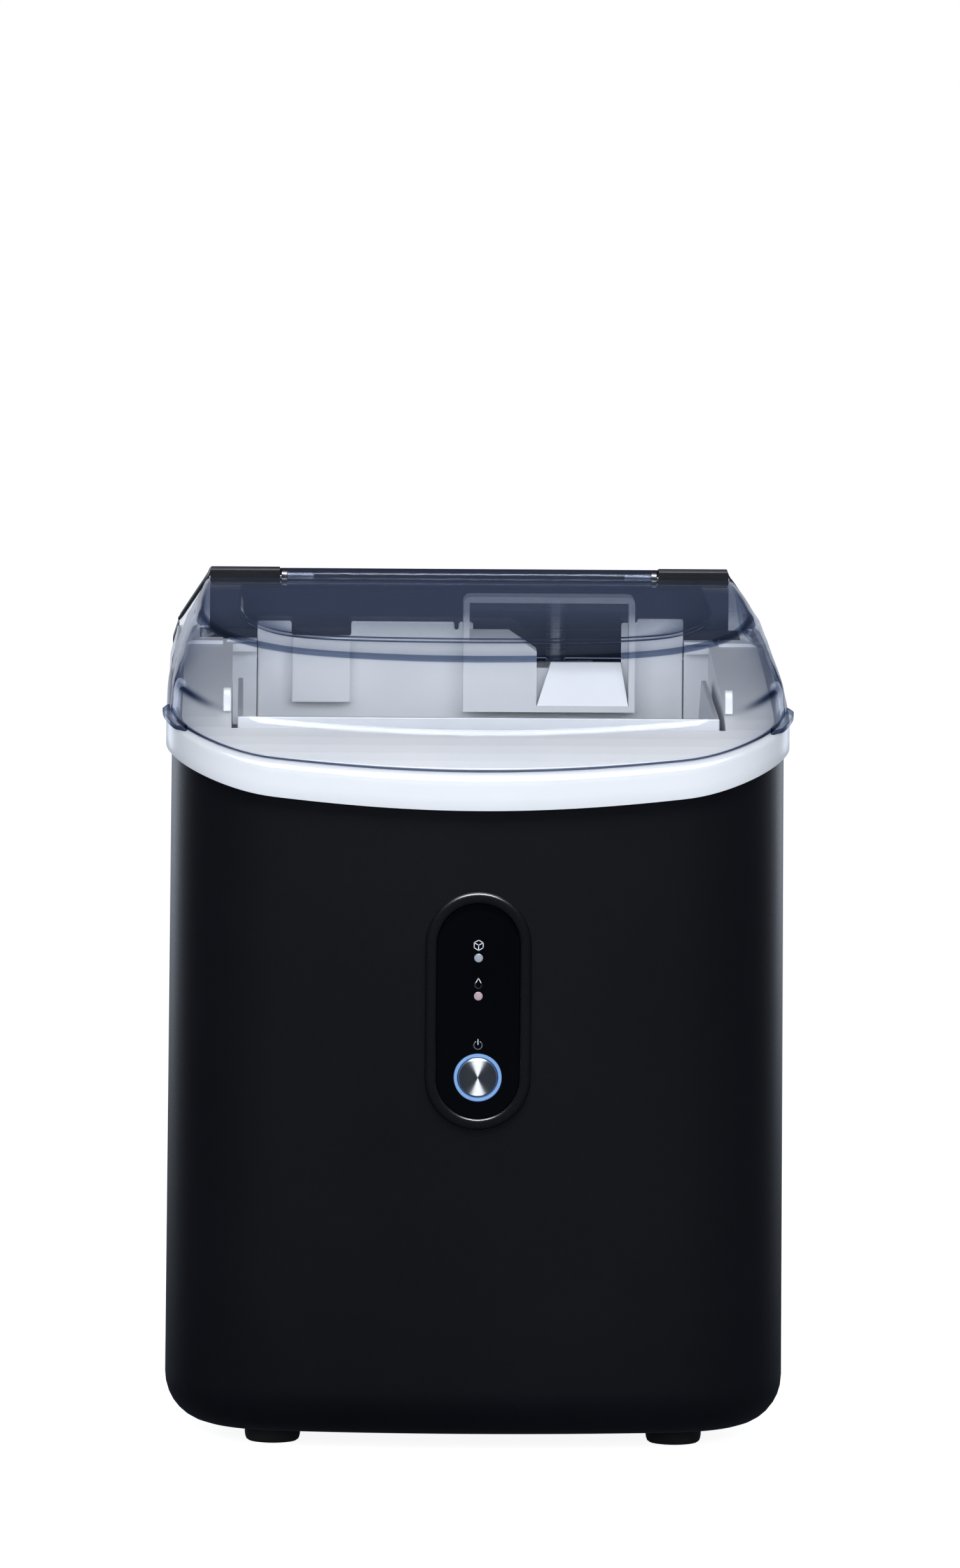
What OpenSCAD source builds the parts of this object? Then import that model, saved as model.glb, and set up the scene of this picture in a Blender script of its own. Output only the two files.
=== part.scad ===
// Countertop nugget ice maker, built as separate pieces.
// Origin: centre of the footprint, on the surface it stands on.
// +X right, +Y to the rear, +Z up. Lengths in millimetres.

/* [Cabinet] */
// Width over the trim ring
body_w = 230.8; // [229:0.2:233]
// Depth from the front of the trim ring to the drain cap
body_d = 318; // [317:0.5:320]
// Height of the trim ring's top edge at the front centre
rim_h = 252; // [251:0.5:253]
// Wall of the outer shell
shell_wall = 2.4; // [2:0.1:2.6]
// Plan radius of the two front corners
corner_r = 48; // [44:1:52]
// Plan radius of the bowed front
front_r = 450; // [420:10:600]
// Radius of the rounded bottom edge
bottom_r = 16; // [10:1:18]
// Set-back of the shell from the trim ring
shell_inset = 1.7; // [1.5:0.1:1.8]

/* [Trim ring and lid] */
// Height of the trim ring band
ring_h = 12.4; // [11:0.2:14]
// Thickness of the trim ring band
ring_t = 3; // [2.6:0.1:3]
// Highest point of the lid's plate
lid_top = 303; // [302.6:0.1:303.2]
// Wall of the lid
lid_wall = 2.2; // [1.8:0.1:2.3]
// Gap between the closed lid and the trim ring
lid_gap = 0.4; // [0.35:0.05:0.6]
// Largest opening angle of the lid, kept for the joint
lid_open = 95; // [80:1:95]

/* [Control panel] */
// Width of the pill-shaped bezel
panel_w = 39; // [38:0.5:40]
// Height of the pill-shaped bezel
panel_h = 88; // [86:0.5:90]
// Height of the bezel's centre above the floor
panel_z = 166.5; // [166:0.5:167]
// Diameter of the push button
button_d = 14.4; // [14:0.1:14.4]

/* [Basket] */
// Outer width of the ice basket
basket_w = 178; // [170:1:179]
// Height of the basket's top edge above the floor
basket_top = 271; // [268:0.5:271.5]

/* [Feet] */
// Height of the feet
foot_h = 7.5; // [7.5:0.1:7.5]
// Diameter of the feet at the top
foot_d = 19.5; // [18:0.5:21]

/* [Hidden] */

$fn = 64;
yf = -body_d / 2;
yr = body_d / 2;
hw = body_w / 2;
ds = [0, 4, 8, 12, 17, 23, 30, 40, 54, 74, 100, 150, 220, 325];

// rise of the rim with the distance from the front
function rise(d) = 20.25 * (1 - exp(-max(d, 0) / 29)) + 0.0375 * max(d, 0);
function rim(d) = rim_h + rise(d);

// plan outline, set in by o from the trim ring's outside
module plan(o = 0) {
  w = hw - o; R = front_r - o; rc = corner_r - o; f = yf + o; rr = 9;
  b = yr - 2 - o;
  cx = w - rc; cy = yf + front_r - sqrt(pow(R - rc, 2) - cx * cx);
  tx = cx * R / (R - rc);
  intersection() {
    translate([0, yf + front_r]) circle(r = R, $fn = 360);
    translate([-tx, f - 5]) square([2 * tx, cy - f + 5.01]);
  }
  for (s = [-1, 1]) {
    translate([s * cx, cy]) circle(r = rc, $fn = 128);
    translate([s * (w - rr), b - rr]) circle(r = rr, $fn = 48);
  }
  translate([-w, cy]) square([2 * w, b - rr - cy]);
  translate([-w + rr, b - rr - 1]) square([2 * (w - rr), rr + 1]);
}
// prism across the width from [y, z] points
module across(x0, x1) { rotate([90, 0, 90]) translate([0, 0, x0]) linear_extrude(x1 - x0) children(); }
// prism along the depth from [x, z] points
module along(y0, y1) { translate([0, y1, 0]) rotate([90, 0, 0]) linear_extrude(y1 - y0) children(); }
// band that follows the rim, from rim+a up to rim+b, in [y, z]
module rim_band(a, b) {
  polygon(concat([for (d = ds) [yf + d - 2, rim(d) + a]],
                 [for (i = [len(ds) - 1:-1:0]) [yf + ds[i] - 2, rim(ds[i]) + b]]));
}
module below_rim(a, z0) {
  polygon(concat([[yf - 2, z0]], [[yf + 323, z0]],
                 [for (i = [len(ds) - 1:-1:0]) [yf + ds[i] - 2, rim(ds[i]) + a]]));
}
// box with rounded lower corners, in [across, z]
module tub(a0, a1, z0, z1, r) {
  for (a = [a0 + r, a1 - r]) translate([a, z0 + r]) circle(r = r, $fn = 64);
  translate([a0 + r, z0]) square([a1 - a0 - 2 * r, r + 1]);
  translate([a0, z0 + r]) square([a1 - a0, z1 - z0 - r]);
}
module cab(o, z0, r, top) {
  intersection() {
    translate([0, 0, z0 - 1]) linear_extrude(330) plan(o);
    across(-hw - 5, hw + 5) intersection() { below_rim(top, z0); tub(yf + o, yr - 2 - o, z0, 320, r); }
    along(yf - 5, yr + 5) tub(-hw + o, hw - o, z0, 320, r);
  }
}
module pill(w, h) { for (s = [-1, 1]) translate([0, s * (h - w) / 2]) circle(d = w, $fn = 96); square([w, h - w], center = true); }
module pill_y(w, h, y0, y1) { along(y0, y1) translate([0, panel_z]) pill(w, h); }
module rod_y(x, z, r, y0, y1) { translate([x, y0, z]) rotate([-90, 0, 0]) cylinder(r = r, h = y1 - y0); }
module rod_x(y, z, r, x0, x1) { translate([x0, y, z]) rotate([0, 90, 0]) cylinder(r = r, h = x1 - x0); }
module box(x0, x1, y0, y1, z0, z1) { translate([x0, y0, z0]) cube([x1 - x0, y1 - y0, z1 - z0]); }
module rod(a, b, r) {
  v = b - a; L = norm(v);
  translate(a) rotate([0, acos(v[2] / L), atan2(v[1], v[0])]) cylinder(r = r, h = L, $fn = 10);
}
// pipe run with mitred elbows: each stretch runs a little past its bend
function toward(a, b, k) = a + (b - a) / norm(b - a) * k;
module tube(p, r) {
  n = len(p) - 1;
  for (i = [0:n - 1]) rod(i == 0 ? p[i] : toward(p[i], p[i + 1], -r * 0.7), i == n - 1 ? p[n] : toward(p[i + 1], p[i], -r * 0.7), r);
}
module toothed(n, m, add, ded, tw) {
  rp = n * m / 2;
  circle(r = rp - ded, $fn = 96);
  for (i = [0:n - 1]) rotate(i * 360 / n)
    polygon([[rp - ded - 1, -tw / 2 - 0.4], [rp + add, -tw / 2 + 0.3], [rp + add, tw / 2 - 0.3], [rp - ded - 1, tw / 2 + 0.4]]);
}

// ---- cabinet ----
foot_y = [-108, 110];
shell_top = -ring_h;
hinge_y = yf + 297.5;
hinge_z = 300.4;
module outer_shell() color([0.05, 0.055, 0.065]) difference() {
  cab(shell_inset, foot_h, bottom_r, shell_top);
  difference() {
    intersection() {
      translate([0, 0, foot_h + shell_wall]) linear_extrude(330) plan(shell_inset + shell_wall);
      across(-hw, hw) tub(yf + shell_inset + shell_wall, yr - 2 - shell_inset - shell_wall, foot_h + shell_wall, 330, bottom_r - shell_wall);
      along(yf, yr) tub(-hw + shell_inset + shell_wall, hw - shell_inset - shell_wall, foot_h + shell_wall, 330, bottom_r - shell_wall);
    }
  }
  pill_y(panel_w - 5, panel_h - 5, yf - 1, yf + 12);
  box(-100, 100, yr - 8, yr + 2, 22, 330);
  box(-hw - 1, hw + 1, yf + 290, yr + 2, 270.6, 330);
  box(-62, 62, -92, 92, foot_h - 1, foot_h + 3);
  for (x = [-74.5, 74.5], y = foot_y) translate([x, y, foot_h - 1]) cylinder(r = 2.2, h = 4);
  for (i = [0:8]) box(-hw - 1, hw + 1, 38 + i * 9, 41 + i * 9, 42, 112);
}
module base_pan() color([0.12, 0.12, 0.13]) difference() {
  union() {
    translate([0, 0, foot_h + shell_wall]) linear_extrude(3) intersection() {
      plan(shell_inset + shell_wall + 14);
      translate([-97, -141]) square([194, 280]);
    }
    for (x = [-74.5, 74.5], y = foot_y) translate([x, y, foot_h + shell_wall + 3]) cylinder(r = 5, h = 8);
  }
  for (x = [-74.5, 74.5], y = foot_y) translate([x, y, foot_h]) cylinder(r = 1.65, h = 20);
  for (i = [0:5]) box(-40, 40, -80 + i * 8, -76 + i * 8, foot_h, 20);
}
module feet() color([0.08, 0.08, 0.085]) for (x = [-74.5, 74.5], y = foot_y) translate([x, y, 0]) difference() {
  rotate_extrude($fn = 96) {
    polygon([[0, 0], [foot_d / 2 - 2.4, 0], [foot_d / 2 - 1, 1.4], [foot_d / 2, foot_h], [0, foot_h]]);
    translate([foot_d / 2 - 2.4, 1.42]) circle(r = 1.4, $fn = 32);
  }
  translate([0, 0, -1]) cylinder(r = 4, h = 4.6);
  cylinder(r = 2, h = 10);
}
module foot_screws() color([0.7, 0.7, 0.72]) for (x = [-74.5, 74.5], y = foot_y) translate([x, y, 1.4]) difference() {
  union() { cylinder(r = 3.6, h = 2.2); cylinder(r = 1.6, h = 17); }
  box(-2.4, 2.4, -0.4, 0.4, -1, 0.9);
  box(-0.4, 0.4, -2.4, 2.4, -1, 0.9);
}
module trim_ring() color([0.93, 0.94, 0.96]) difference() {
  union() {
    intersection() {
      linear_extrude(330) difference() { plan(0); plan(ring_t); }
      across(-hw - 1, hw + 1) rim_band(-ring_h, 0);
    }
    intersection() {
      linear_extrude(330) difference() { plan(shell_inset + shell_wall + 0.1); plan(shell_inset + shell_wall + 1.6); }
      across(-hw - 1, hw + 1) rim_band(-ring_h - 5, -5);
    }
    intersection() {
      linear_extrude(330) difference() { plan(ring_t - 0.5); plan(shell_inset + shell_wall + 1.6); }
      across(-hw - 1, hw + 1) rim_band(-ring_h, -5.2);
    }
  }
  box(-hw - 2, hw + 2, yf + 290, yr + 5, 200, 330);
}
fo = 91.2;      // half-width of the frame's opening
fy0 = yf + 37;  // front of the opening
fy1 = yf + 255; // rear of the opening
module top_frame() color([0.9, 0.91, 0.94]) difference() {
  union() {
    intersection() {
      linear_extrude(330) plan(ring_t + 2.8);
      across(-hw, hw) rim_band(-4.4, -1.4);
    }
    // collar down to the chamber
    intersection() {
      linear_extrude(330) difference() {
        translate([-fo - 2.4, fy0 - 2.4]) square([2 * fo + 4.8, fy1 - fy0 + 2.4]);
        translate([-fo, fy0]) square([2 * fo, fy1 - fy0 + 1]);
      }
      across(-hw, hw) below_rim(-4.2, 248.2);
    }
    // stepped rear corners beside the chamber's rear wall
    for (s = [-1, 1]) {
      along(yf + 247, yf + 255) polygon([[s * 82, 248.2], [s * 95, 248.2], [s * 95, 279], [s * 93, 281], [s * 82, 281]]);
      along(yf + 240, yf + 255) polygon([[s * 95, 270], [s * 109.4, 270], [s * 109.4, 280], [s * 107, 281.2], [s * 95, 281.2]]);
      // cheeks that close the lid's rear corners
      along(yf + 287.2, yf + 290) polygon([[s * 100.2, 276], [s * 109.4, 276], [s * 109.4, 278.4], [s * 112, 278.4], [s * 112, 284.4], [s * 110.6, 286],
        [s * 105.9, 293], [s * 101.7, 299.3], [s * 100.5, 301.2], [s * 100.2, 302.2]]);
    }
  }
  // opening
  box(-fo, fo, fy0, fy1 - 15, 200, 330);
  box(-82, 82, fy0, fy1 + 2.2, 200, 330);
  box(-hw - 1, hw + 1, yf + 290, yr + 2, 200, 330);
  // room for the dark shelf of the rear cover
  box(-104, 104, yf + 256, yf + 292, 200, 282);
  box(-82, 82, yf + 256, yf + 292, 200, 330);
}
module ice_chamber() color([0.88, 0.9, 0.93]) {
  difference() {
    box(-95, 95, -125, fy1 + 2, 150, 248);
    box(-93, 93, -123, fy1, 152, 249);
    for (x = [-60:30:60], y = [-80, -20, 40]) translate([x, y, 149]) cylinder(r = 3, h = 5);
  }
  // raised rear wall with a step, a clip notch and the mouth of the chute
  along(fy1, fy1 + 2) difference() {
    polygon([[-81.8, 248], [81.8, 248], [81.8, 289], [64, 289], [64, 287.5], [-4.5, 287.5], [-4.5, 284.5], [-6.2, 284.5],
             [-6.2, 287.5], [-45.8, 287.5], [-45.8, 282], [-68.7, 282], [-68.7, 287.5], [-81.8, 287.5]]);
    translate([1, 270]) square([57, 30]);
  }
}
module insulation() color([0.93, 0.88, 0.7]) difference() {
  intersection() {
    translate([0, 0, 152]) linear_extrude(84) plan(shell_inset + shell_wall + 1.5);
    box(-107, 107, -137, fy1 + 2, 150, 240);
  }
  box(-95, 95, -125, fy1 + 3, 151, 249);
}
module rear_panel() color([0.1, 0.1, 0.11]) difference() {
  along(yr - 4.6, yr - 2.4) translate([-99.7, 22.3]) square([199.4, 246]);
  for (i = [0:9], j = [0:2]) box(-100 + j * 30, -74 + j * 30, yr - 6, yr, 28 + i * 9.4, 32 + i * 9.4);
  for (i = [0:4], j = [0:1]) box(-40 + j * 46, -2 + j * 46, yr - 6, yr, 190 + i * 9, 193.5 + i * 9);
  box(69.9, 97.1, yr - 6, yr, 100.1, 119.9);
  rod_y(88, 40, 7.1, yr - 6, yr);
  for (x = [-94, 94], z = [60, 160, 250]) rod_y(x, z, 1.7, yr - 6, yr);
}
module case_screws() color([0.15, 0.15, 0.16]) for (x = [-94, 94], z = [60, 160, 250]) difference() {
  union() { rod_y(x, z, 3.2, yr - 2.4, yr - 0.8); rod_y(x, z, 1.6, yr - 10, yr - 2.4); }
  box(x - 2, x + 2, yr - 1.6, yr, z - 0.35, z + 0.35);
  box(x - 0.35, x + 0.35, yr - 1.6, yr, z - 2, z + 2);
}
// rear cover: an arch behind the lid that carries the hinge
function arch(o, t) = [[-hw + 0.9 + o, 270.9], [hw - 0.9 - o, 270.9], [hw - 0.9 - o, 277], [111.8 - o, 285], [106.5 - o, 293],
  [102.3 - o, 299.3], [101.1 - o, 301.3], [99.7 - o, t - o], [-99.7 + o, t - o], [-101.1 + o, 301.3], [-102.3 + o, 299.3], [-106.5 + o, 293],
  [-111.8 + o, 285], [-hw + 0.9 + o, 277]];
module rear_top_cover() color([0.06, 0.06, 0.07]) difference() {
  union() {
    difference() {
      intersection() {
        along(yf + 290, yr - 1) polygon(arch(0, 304.9));
        translate([0, 0, 260]) linear_extrude(60) plan(0);
        // its top falls away behind the hinge
        across(-hw, hw) polygon([[yf + 280, 260], [yr, 260], [yr, 302.3], [yf + 309, 303.3], [yf + 303, 303.9], [yf + 289, 304.9], [yf + 280, 304.9]]);
      }
      along(yf + 292.4, yr - 5) polygon([[-hw + 4, 260], [hw - 4, 260], [110, 277], [98, 293.2], [-98, 293.2], [-110, 277]]);
    }
    // shelf behind the chamber, open behind the chute's mouth
    difference() {
      intersection() {
        box(-103.9, 103.9, yf + 257.3, yf + 290.5, 200, 330);
        across(-hw, hw) rim_band(-4.4, -1.4);
      }
      box(-1.1, 60.1, yf + 250, yf + 289.5, 200, 330);
    }
    // hinge housings that show under the lid
    for (s = [-1, 1]) along(yf + 286.5, yf + 290) translate([s * 85.8, 0]) polygon([[-14.2, 298.4], [-14.2, 288], [-8, 282.6], [8, 282.6], [14.2, 288], [14.2, 298.4]]);
  }
  // trough for the lid's barrel
  box(-73.2, 73.2, yf + 289, yf + 302.6, 295.6, 310);
  // seats of the hinge caps
  for (s = [-1, 1]) translate([s * 87, 0, 0]) box(-13.9, 13.9, yf + 289, yf + 308, 302.9, 310);
  // clearance for the lid's plate in front of the caps
  rod_x(hinge_y, hinge_z, 2, -95, 95);
}
module hinge_cap(s) difference() {
  intersection() {
    translate([s * 87, 0, 0]) box(-13.8, 13.8, yf + 290, yf + 307.9, 302.9, 305);
    along(yf + 289, yr) polygon(arch(0, 305));
    across(-hw, hw) polygon([[yf + 290, 300], [yf + 290, 304.2], [yf + 290.9, 305], [yf + 296, 305], [yf + 307.2, 303.9], [yf + 307.9, 303.2], [yf + 307.9, 300]]);
  }
}
module hinge_cap_left() color([0.06, 0.06, 0.065]) hinge_cap(-1);
module hinge_cap_right() color([0.06, 0.06, 0.065]) hinge_cap(1);
module hinge_pins() color([0.75, 0.75, 0.78]) for (s = [0, 1]) mirror([s, 0, 0]) rod_x(hinge_y, hinge_z, 2, 61, 95);

// ---- inside of the chamber ----
module ice_chute() color([0.9, 0.91, 0.94]) {
  difference() {
    along(fy1 - 17, fy1 - 0.05) difference() {
      union() {
        translate([-2.9, 254.5]) square([65.7, 41.5]);
        translate([-0.2, 254.5]) square([60.3, 44.2]);
        for (x = [-0.2, 60.1]) translate([x, 296]) circle(r = 2.7);
      }
      translate([-0.6, 256.8]) square([61.1, 39.6]);
    }
  }
  // left slide: its top rises to the rear and its inner corner is cut
  hull() {
    along(fy1 - 17, fy1 - 16.9) polygon([[-0.6, 256.8], [25.2, 256.8], [25.2, 277.8], [19.8, 281.6], [-0.6, 281.6]]);
    along(fy1 - 0.15, fy1 - 0.05) polygon([[-0.6, 256.8], [25.2, 256.8], [25.2, 277.8], [14.7, 284.8], [-0.6, 284.8]]);
  }
  // right slide: a ramp that widens on its way down to the basket
  hull() {
    along(fy1 - 17, fy1 - 16.9) polygon([[25.4, 256.8], [60.4, 256.8], [60.4, 257], [25.4, 257]]);
    along(fy1 - 3, fy1 - 0.05) polygon([[25.4, 256.8], [60.4, 256.8], [57.7, 272.5], [31, 272.5]]);
  }
}
module water_return_cover() color([0.95, 0.95, 0.97]) difference() {
  box(-68.4, -46.1, fy1 - 10, fy1 - 0.05, 257.2, 282);
  box(-66.6, -47.9, fy1 - 8.2, fy1 + 1, 256, 280.2);
}
module sensor_posts() color([0.95, 0.95, 0.97]) for (s = [-1, 1]) {
  translate([s * 92.9, 0, 0]) difference() {
    union() { box(-1.5, 1.5, yf + 56, yf + 64, 271.3, 276); rod_x(yf + 60, 276, 4, -1.5, 1.5); }
    rod_x(yf + 60, 276, 1.6, -2, 2);
  }
}
module ice_basket() color([0.82, 0.86, 0.92]) difference() {
  box(-basket_w / 2, basket_w / 2, yf + 40, yf + 236, 156, basket_top);
  box(-basket_w / 2 + 2, basket_w / 2 - 2, yf + 42, yf + 234, 158, basket_top + 5);
  for (x = [-70:20:70], y = [-90:36:60]) box(x - 2, x + 2, y, y + 24, 150, 160);
  // low rear wall, so that ice falls in from the chute
  across(-basket_w, basket_w) polygon([[yf + 196, basket_top], [yf + 228, 252.5], [yf + 240, 252.5], [yf + 240, basket_top + 9], [yf + 196, basket_top + 9]]);
}

// ---- control panel ----
module panel_bezel() color([0.05, 0.05, 0.055]) difference() {
  union() {
    pill_y(panel_w, panel_h, yf + 0.1, yf + 1.65);
    pill_y(panel_w - 5.2, panel_h - 5.2, yf + 1.6, yf + 9);
  }
  pill_y(panel_w - 8.4, panel_h - 8.4, yf - 1, yf + 10);
}
module panel_face() color([0.01, 0.01, 0.012]) difference() {
  pill_y(panel_w - 8.5, panel_h - 8.5, yf + 0.9, yf + 3);
  rod_y(0, 186.2, 1.65, yf, yf + 5);
  rod_y(0, 172.1, 1.65, yf, yf + 5);
  rod_y(0, 142, 8.85, yf, yf + 5);
}
module led(z) { rod_y(0, z, 1.6, yf + 0.8, yf + 3.2); rod_y(0, z, 2.2, yf + 3.2, yf + 9.4); }
module led_ice_full() color([0.85, 0.88, 0.92]) led(186.2);
module led_add_water() color([0.9, 0.75, 0.78]) led(172.1);
module button_light_ring() color([0.42, 0.58, 0.85]) difference() {
  rod_y(0, 142, 8.8, yf + 0.6, yf + 7);
  rod_y(0, 142, button_d / 2 + 0.35, yf, yf + 8);
}
module power_button() color([0.75, 0.76, 0.78]) difference() {
  union() { rod_y(0, 142, button_d / 2, yf + 0.3, yf + 4.4); rod_y(0, 142, 2.6, yf + 4, yf + 8); }
}
module button_spring() color([0.7, 0.7, 0.72]) for (i = [0:2]) translate([0, yf + 6.2 + i * 1.2, 142]) rotate([90, 0, 0])
  rotate_extrude() translate([3.6, 0]) circle(r = 0.4, $fn = 24);
module control_board() color([0.1, 0.32, 0.18]) {
  box(-16, 16, yf + 9.6, yf + 11.2, 126, 207);
  box(-3, 3, yf + 9.2, yf + 9.7, 139, 145);
  box(-10, 10, yf + 11.2, yf + 14, 150, 162);
  box(-6, 6, yf + 11.2, yf + 16, 190, 199);
}

// ---- machine bay ----
cx0 = -50; cy0 = 8;
module compressor() color([0.07, 0.07, 0.075]) {
  translate([cx0, cy0, 19.5]) rotate_extrude($fn = 96) intersection() {
    union() { square([38, 56]); translate([20, 18]) circle(r = 18); translate([20, 74]) circle(r = 18); translate([0, 0]) square([20, 92]); translate([0, 18]) square([38, 56]); }
    square([60, 92]);
  }
  for (a = [30, 150, 270]) translate([cx0, cy0, 17]) rotate(a) box(20, 46, -7, 7, 0, 3);
  translate([cx0 + 36, cy0, 60]) rotate([0, 90, 0]) cylinder(r = 12, h = 8);
}
module compressor_grommets() color([0.15, 0.15, 0.15]) for (a = [30, 150, 270]) translate([cx0, cy0, 12.9]) rotate(a) translate([40, 0, 0]) cylinder(r = 6, h = 4.1);
module condenser() color([0.75, 0.76, 0.78]) {
  for (i = [0:21]) box(-101.5 + i * 4, -100.7 + i * 4, 129, 148, 22, 122);
  for (z = [32:20:112]) rod_x(138.5, z, 3, -103, -14.5);
}
fan_x = -58; fan_z = 72;
module fan_shroud() color([0.1, 0.1, 0.11]) difference() {
  union() {
    box(-107, -13, 125, 127.4, 22, 122);
    rod_y(fan_x, fan_z, 44, 109, 125.5);
    for (a = [0, 120, 240]) translate([fan_x, 104, fan_z]) rotate([0, a, 0]) box(-3, 3, 0, 5.5, 0, 44);
    rod_y(fan_x, fan_z, 16, 103, 108);
  }
  difference() { rod_y(fan_x, fan_z, 42, 109, 130); }
  rod_y(fan_x, fan_z, 13.05, 100, 109);
}
module fan_motor() color([0.2, 0.2, 0.21]) difference() {
  rod_y(fan_x, fan_z, 13, 86, 108);
  rod_y(fan_x, fan_z, 1.55, 92, 109);
}
module fan() color([0.13, 0.13, 0.14]) {
  rod_y(fan_x, fan_z, 10, 110, 122);
  rod_y(fan_x, fan_z, 1.5, 93, 111);
  intersection() {
    difference() { rod_y(fan_x, fan_z, 38.5, 110, 122); rod_y(fan_x, fan_z, 9.5, 109, 123); }
    for (i = [0:6]) translate([fan_x, 116, fan_z]) rotate([0, i * 360 / 7, 0]) rotate([0, 0, 0])
      rotate([0, 0, 28]) box(-9, 9, -0.8, 0.8, 8, 40);
  }
}
ax = 33.4; ay = 126;
module at_auger() translate([ax, ay, 0]) children();
module ring_z(r1, r0, z0, z1) translate([0, 0, z0]) difference() { cylinder(r = r1, h = z1 - z0, $fn = 96); translate([0, 0, -1]) cylinder(r = r0, h = z1 - z0 + 2, $fn = 96); }
module evaporator_barrel() color([0.72, 0.73, 0.75]) difference() {
  at_auger() union() { ring_z(15, 12.4, 84, 240); ring_z(19, 12.4, 84, 86); }
  rod_y(ax, 90, 3, ay - 20, ay - 5);
}
module evaporator_coil() color([0.72, 0.42, 0.28]) at_auger() {
  for (z = [102:6:222]) translate([0, 0, z]) rotate_extrude() translate([17.25, 0]) circle(r = 2.1, $fn = 32);
}
module barrel_insulation() color([0.16, 0.16, 0.17]) difference() {
  at_auger() ring_z(26, 20, 96, 230);
  box(ax - 30, ax, ay - 5, ay + 5, 90, 240);
}
module auger_shaft() color([0.78, 0.79, 0.8]) at_auger() {
  translate([0, 0, 61]) cylinder(r = 5, h = 29);
  translate([0, 0, 234]) cylinder(r = 5, h = 32);
  translate([0, 0, 266]) cylinder(r = 3.7, h = 27);
  translate([0, 0, 266.6]) rotate(25) box(-15, 15, -2, 2, 0, 3.4);
}
module auger_flight() color([0.74, 0.75, 0.77]) at_auger() translate([0, 0, 90]) linear_extrude(height = 144, twist = -1440, slices = 96, segments = 12, convexity = 4)
  polygon([for (i = [0:11]) let (a = i * 30) (i < 3 ? 11.7 : 5.1) * [cos(a), sin(a)]]);
module auger_gear() color([0.85, 0.83, 0.75]) at_auger() difference() {
  translate([0, 0, 68]) linear_extrude(8) toothed(30, 1.5, 1.2, 1.7, 1.6);
  translate([0, 0, 60]) cylinder(r = 5, h = 20);
}
px0 = ax + 30;
module motor_pinion() color([0.8, 0.8, 0.82]) translate([px0, ay, 0]) {
  translate([0, 0, 67.5]) rotate(18) linear_extrude(9) toothed(10, 1.5, 1.2, 1.7, 1.5);
  translate([0, 0, 45]) cylinder(r = 2.5, h = 23);
}
module gearbox_housing() color([0.2, 0.2, 0.21]) difference() {
  box(6, 84, 99.5, 153, 60, 80);
  difference() { box(8.4, 81.6, 101.9, 151.4, 64, 81); }
  translate([ax, ay, 59]) cylinder(r = 7.5, h = 10);
  translate([px0, ay, 59]) cylinder(r = 3.2, h = 10);
}
module gearbox_cover() color([0.2, 0.2, 0.21]) difference() {
  box(6, 84, 99.5, 153, 80, 84);
  translate([ax, ay, 79]) cylinder(r = 5.4, h = 10);
}
module gear_motor() color([0.7, 0.71, 0.73]) difference() {
  translate([px0, ay, 24]) cylinder(r = 19, h = 36);
  translate([px0, ay, 40]) cylinder(r = 2.55, h = 30);
}
module auger_bush_lower() color([0.75, 0.55, 0.25]) at_auger() ring_z(7.5, 5.04, 60, 66);
module auger_bush_upper() color([0.75, 0.55, 0.25]) at_auger() ring_z(8, 5.04, 252, 266);
module extruder_head() color([0.85, 0.86, 0.88]) difference() {
  at_auger() translate([0, 0, 240]) cylinder(r = 20, h = 26, $fn = 96);
  at_auger() translate([0, 0, 239]) cylinder(r = 8, h = 40, $fn = 64);
  for (a = [0:60:300]) at_auger() rotate(a) translate([13, 0, 239]) cylinder(r = 3.3, h = 40, $fn = 32);
}
module water_tank() color([0.8, 0.86, 0.92]) difference() {
  box(2, 98, -130, 54, 70, 146);
  box(4, 96, -128, 52, 72, 147);
  translate([60, -60, 69]) cylinder(r = 4.1, h = 5);
}
module water_pump() color([0.12, 0.12, 0.13]) {
  translate([60, -60, 13]) cylinder(r = 15, h = 34);
  translate([60, -60, 40]) cylinder(r = 4, h = 31);
  rod_y(60, 36, 3.4, -60, -38);
}
module water_hose() color([0.85, 0.87, 0.9]) tube([[60, -37.9, 36], [60, 82, 36], [ax, 92, 60], [ax, 92, 90], [ax, 110.9, 90]], 2.9);
module float_stem() color([0.9, 0.9, 0.92]) translate([25, -105, 72]) { cylinder(r = 2, h = 68); translate([0, 0, 64]) cylinder(r = 4, h = 4); }
module water_float() color([0.95, 0.95, 0.95]) translate([25, -105, 74]) difference() { cylinder(r = 9, h = 12); translate([0, 0, -1]) cylinder(r = 2.35, h = 20); }
module refrigerant_pipes() color([0.72, 0.42, 0.28]) {
  tube([[-70, 8, 111.5], [-70, 8, 130], [-70, 138.5, 130], [-70, 138.5, 122.3]], 2.4);
  tube([[-14.2, 138.5, 32], [-4, 138.5, 32], [-4, 138.5, 49.5]], 2.4);
  tube([[-4, 138.5, 100.5], [-4, 138.5, 118], [-4, 126.6, 118], [13, 126.6, 118]], 2.4);
}
module suction_pipe() color([0.72, 0.42, 0.28]) {
  tube([[13.2, 126, 220], [-14, 126, 220], [-14, 126, 138], [-14, 18, 138], [-36, 18, 138], [-36, 18, 111.5]], 2.4);
}
module filter_drier() color([0.7, 0.45, 0.3]) translate([-4, 138.5, 49.5]) cylinder(r = 7.5, h = 51);
module power_board() color([0.1, 0.32, 0.18]) {
  box(104, 105.6, 60, 124, 26, 136);
  box(92, 104, 66, 90, 34, 62);
  box(96, 104, 96, 116, 40, 60);
  translate([104, 78, 90]) rotate([0, -90, 0]) cylinder(r = 9, h = 14);
}
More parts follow.
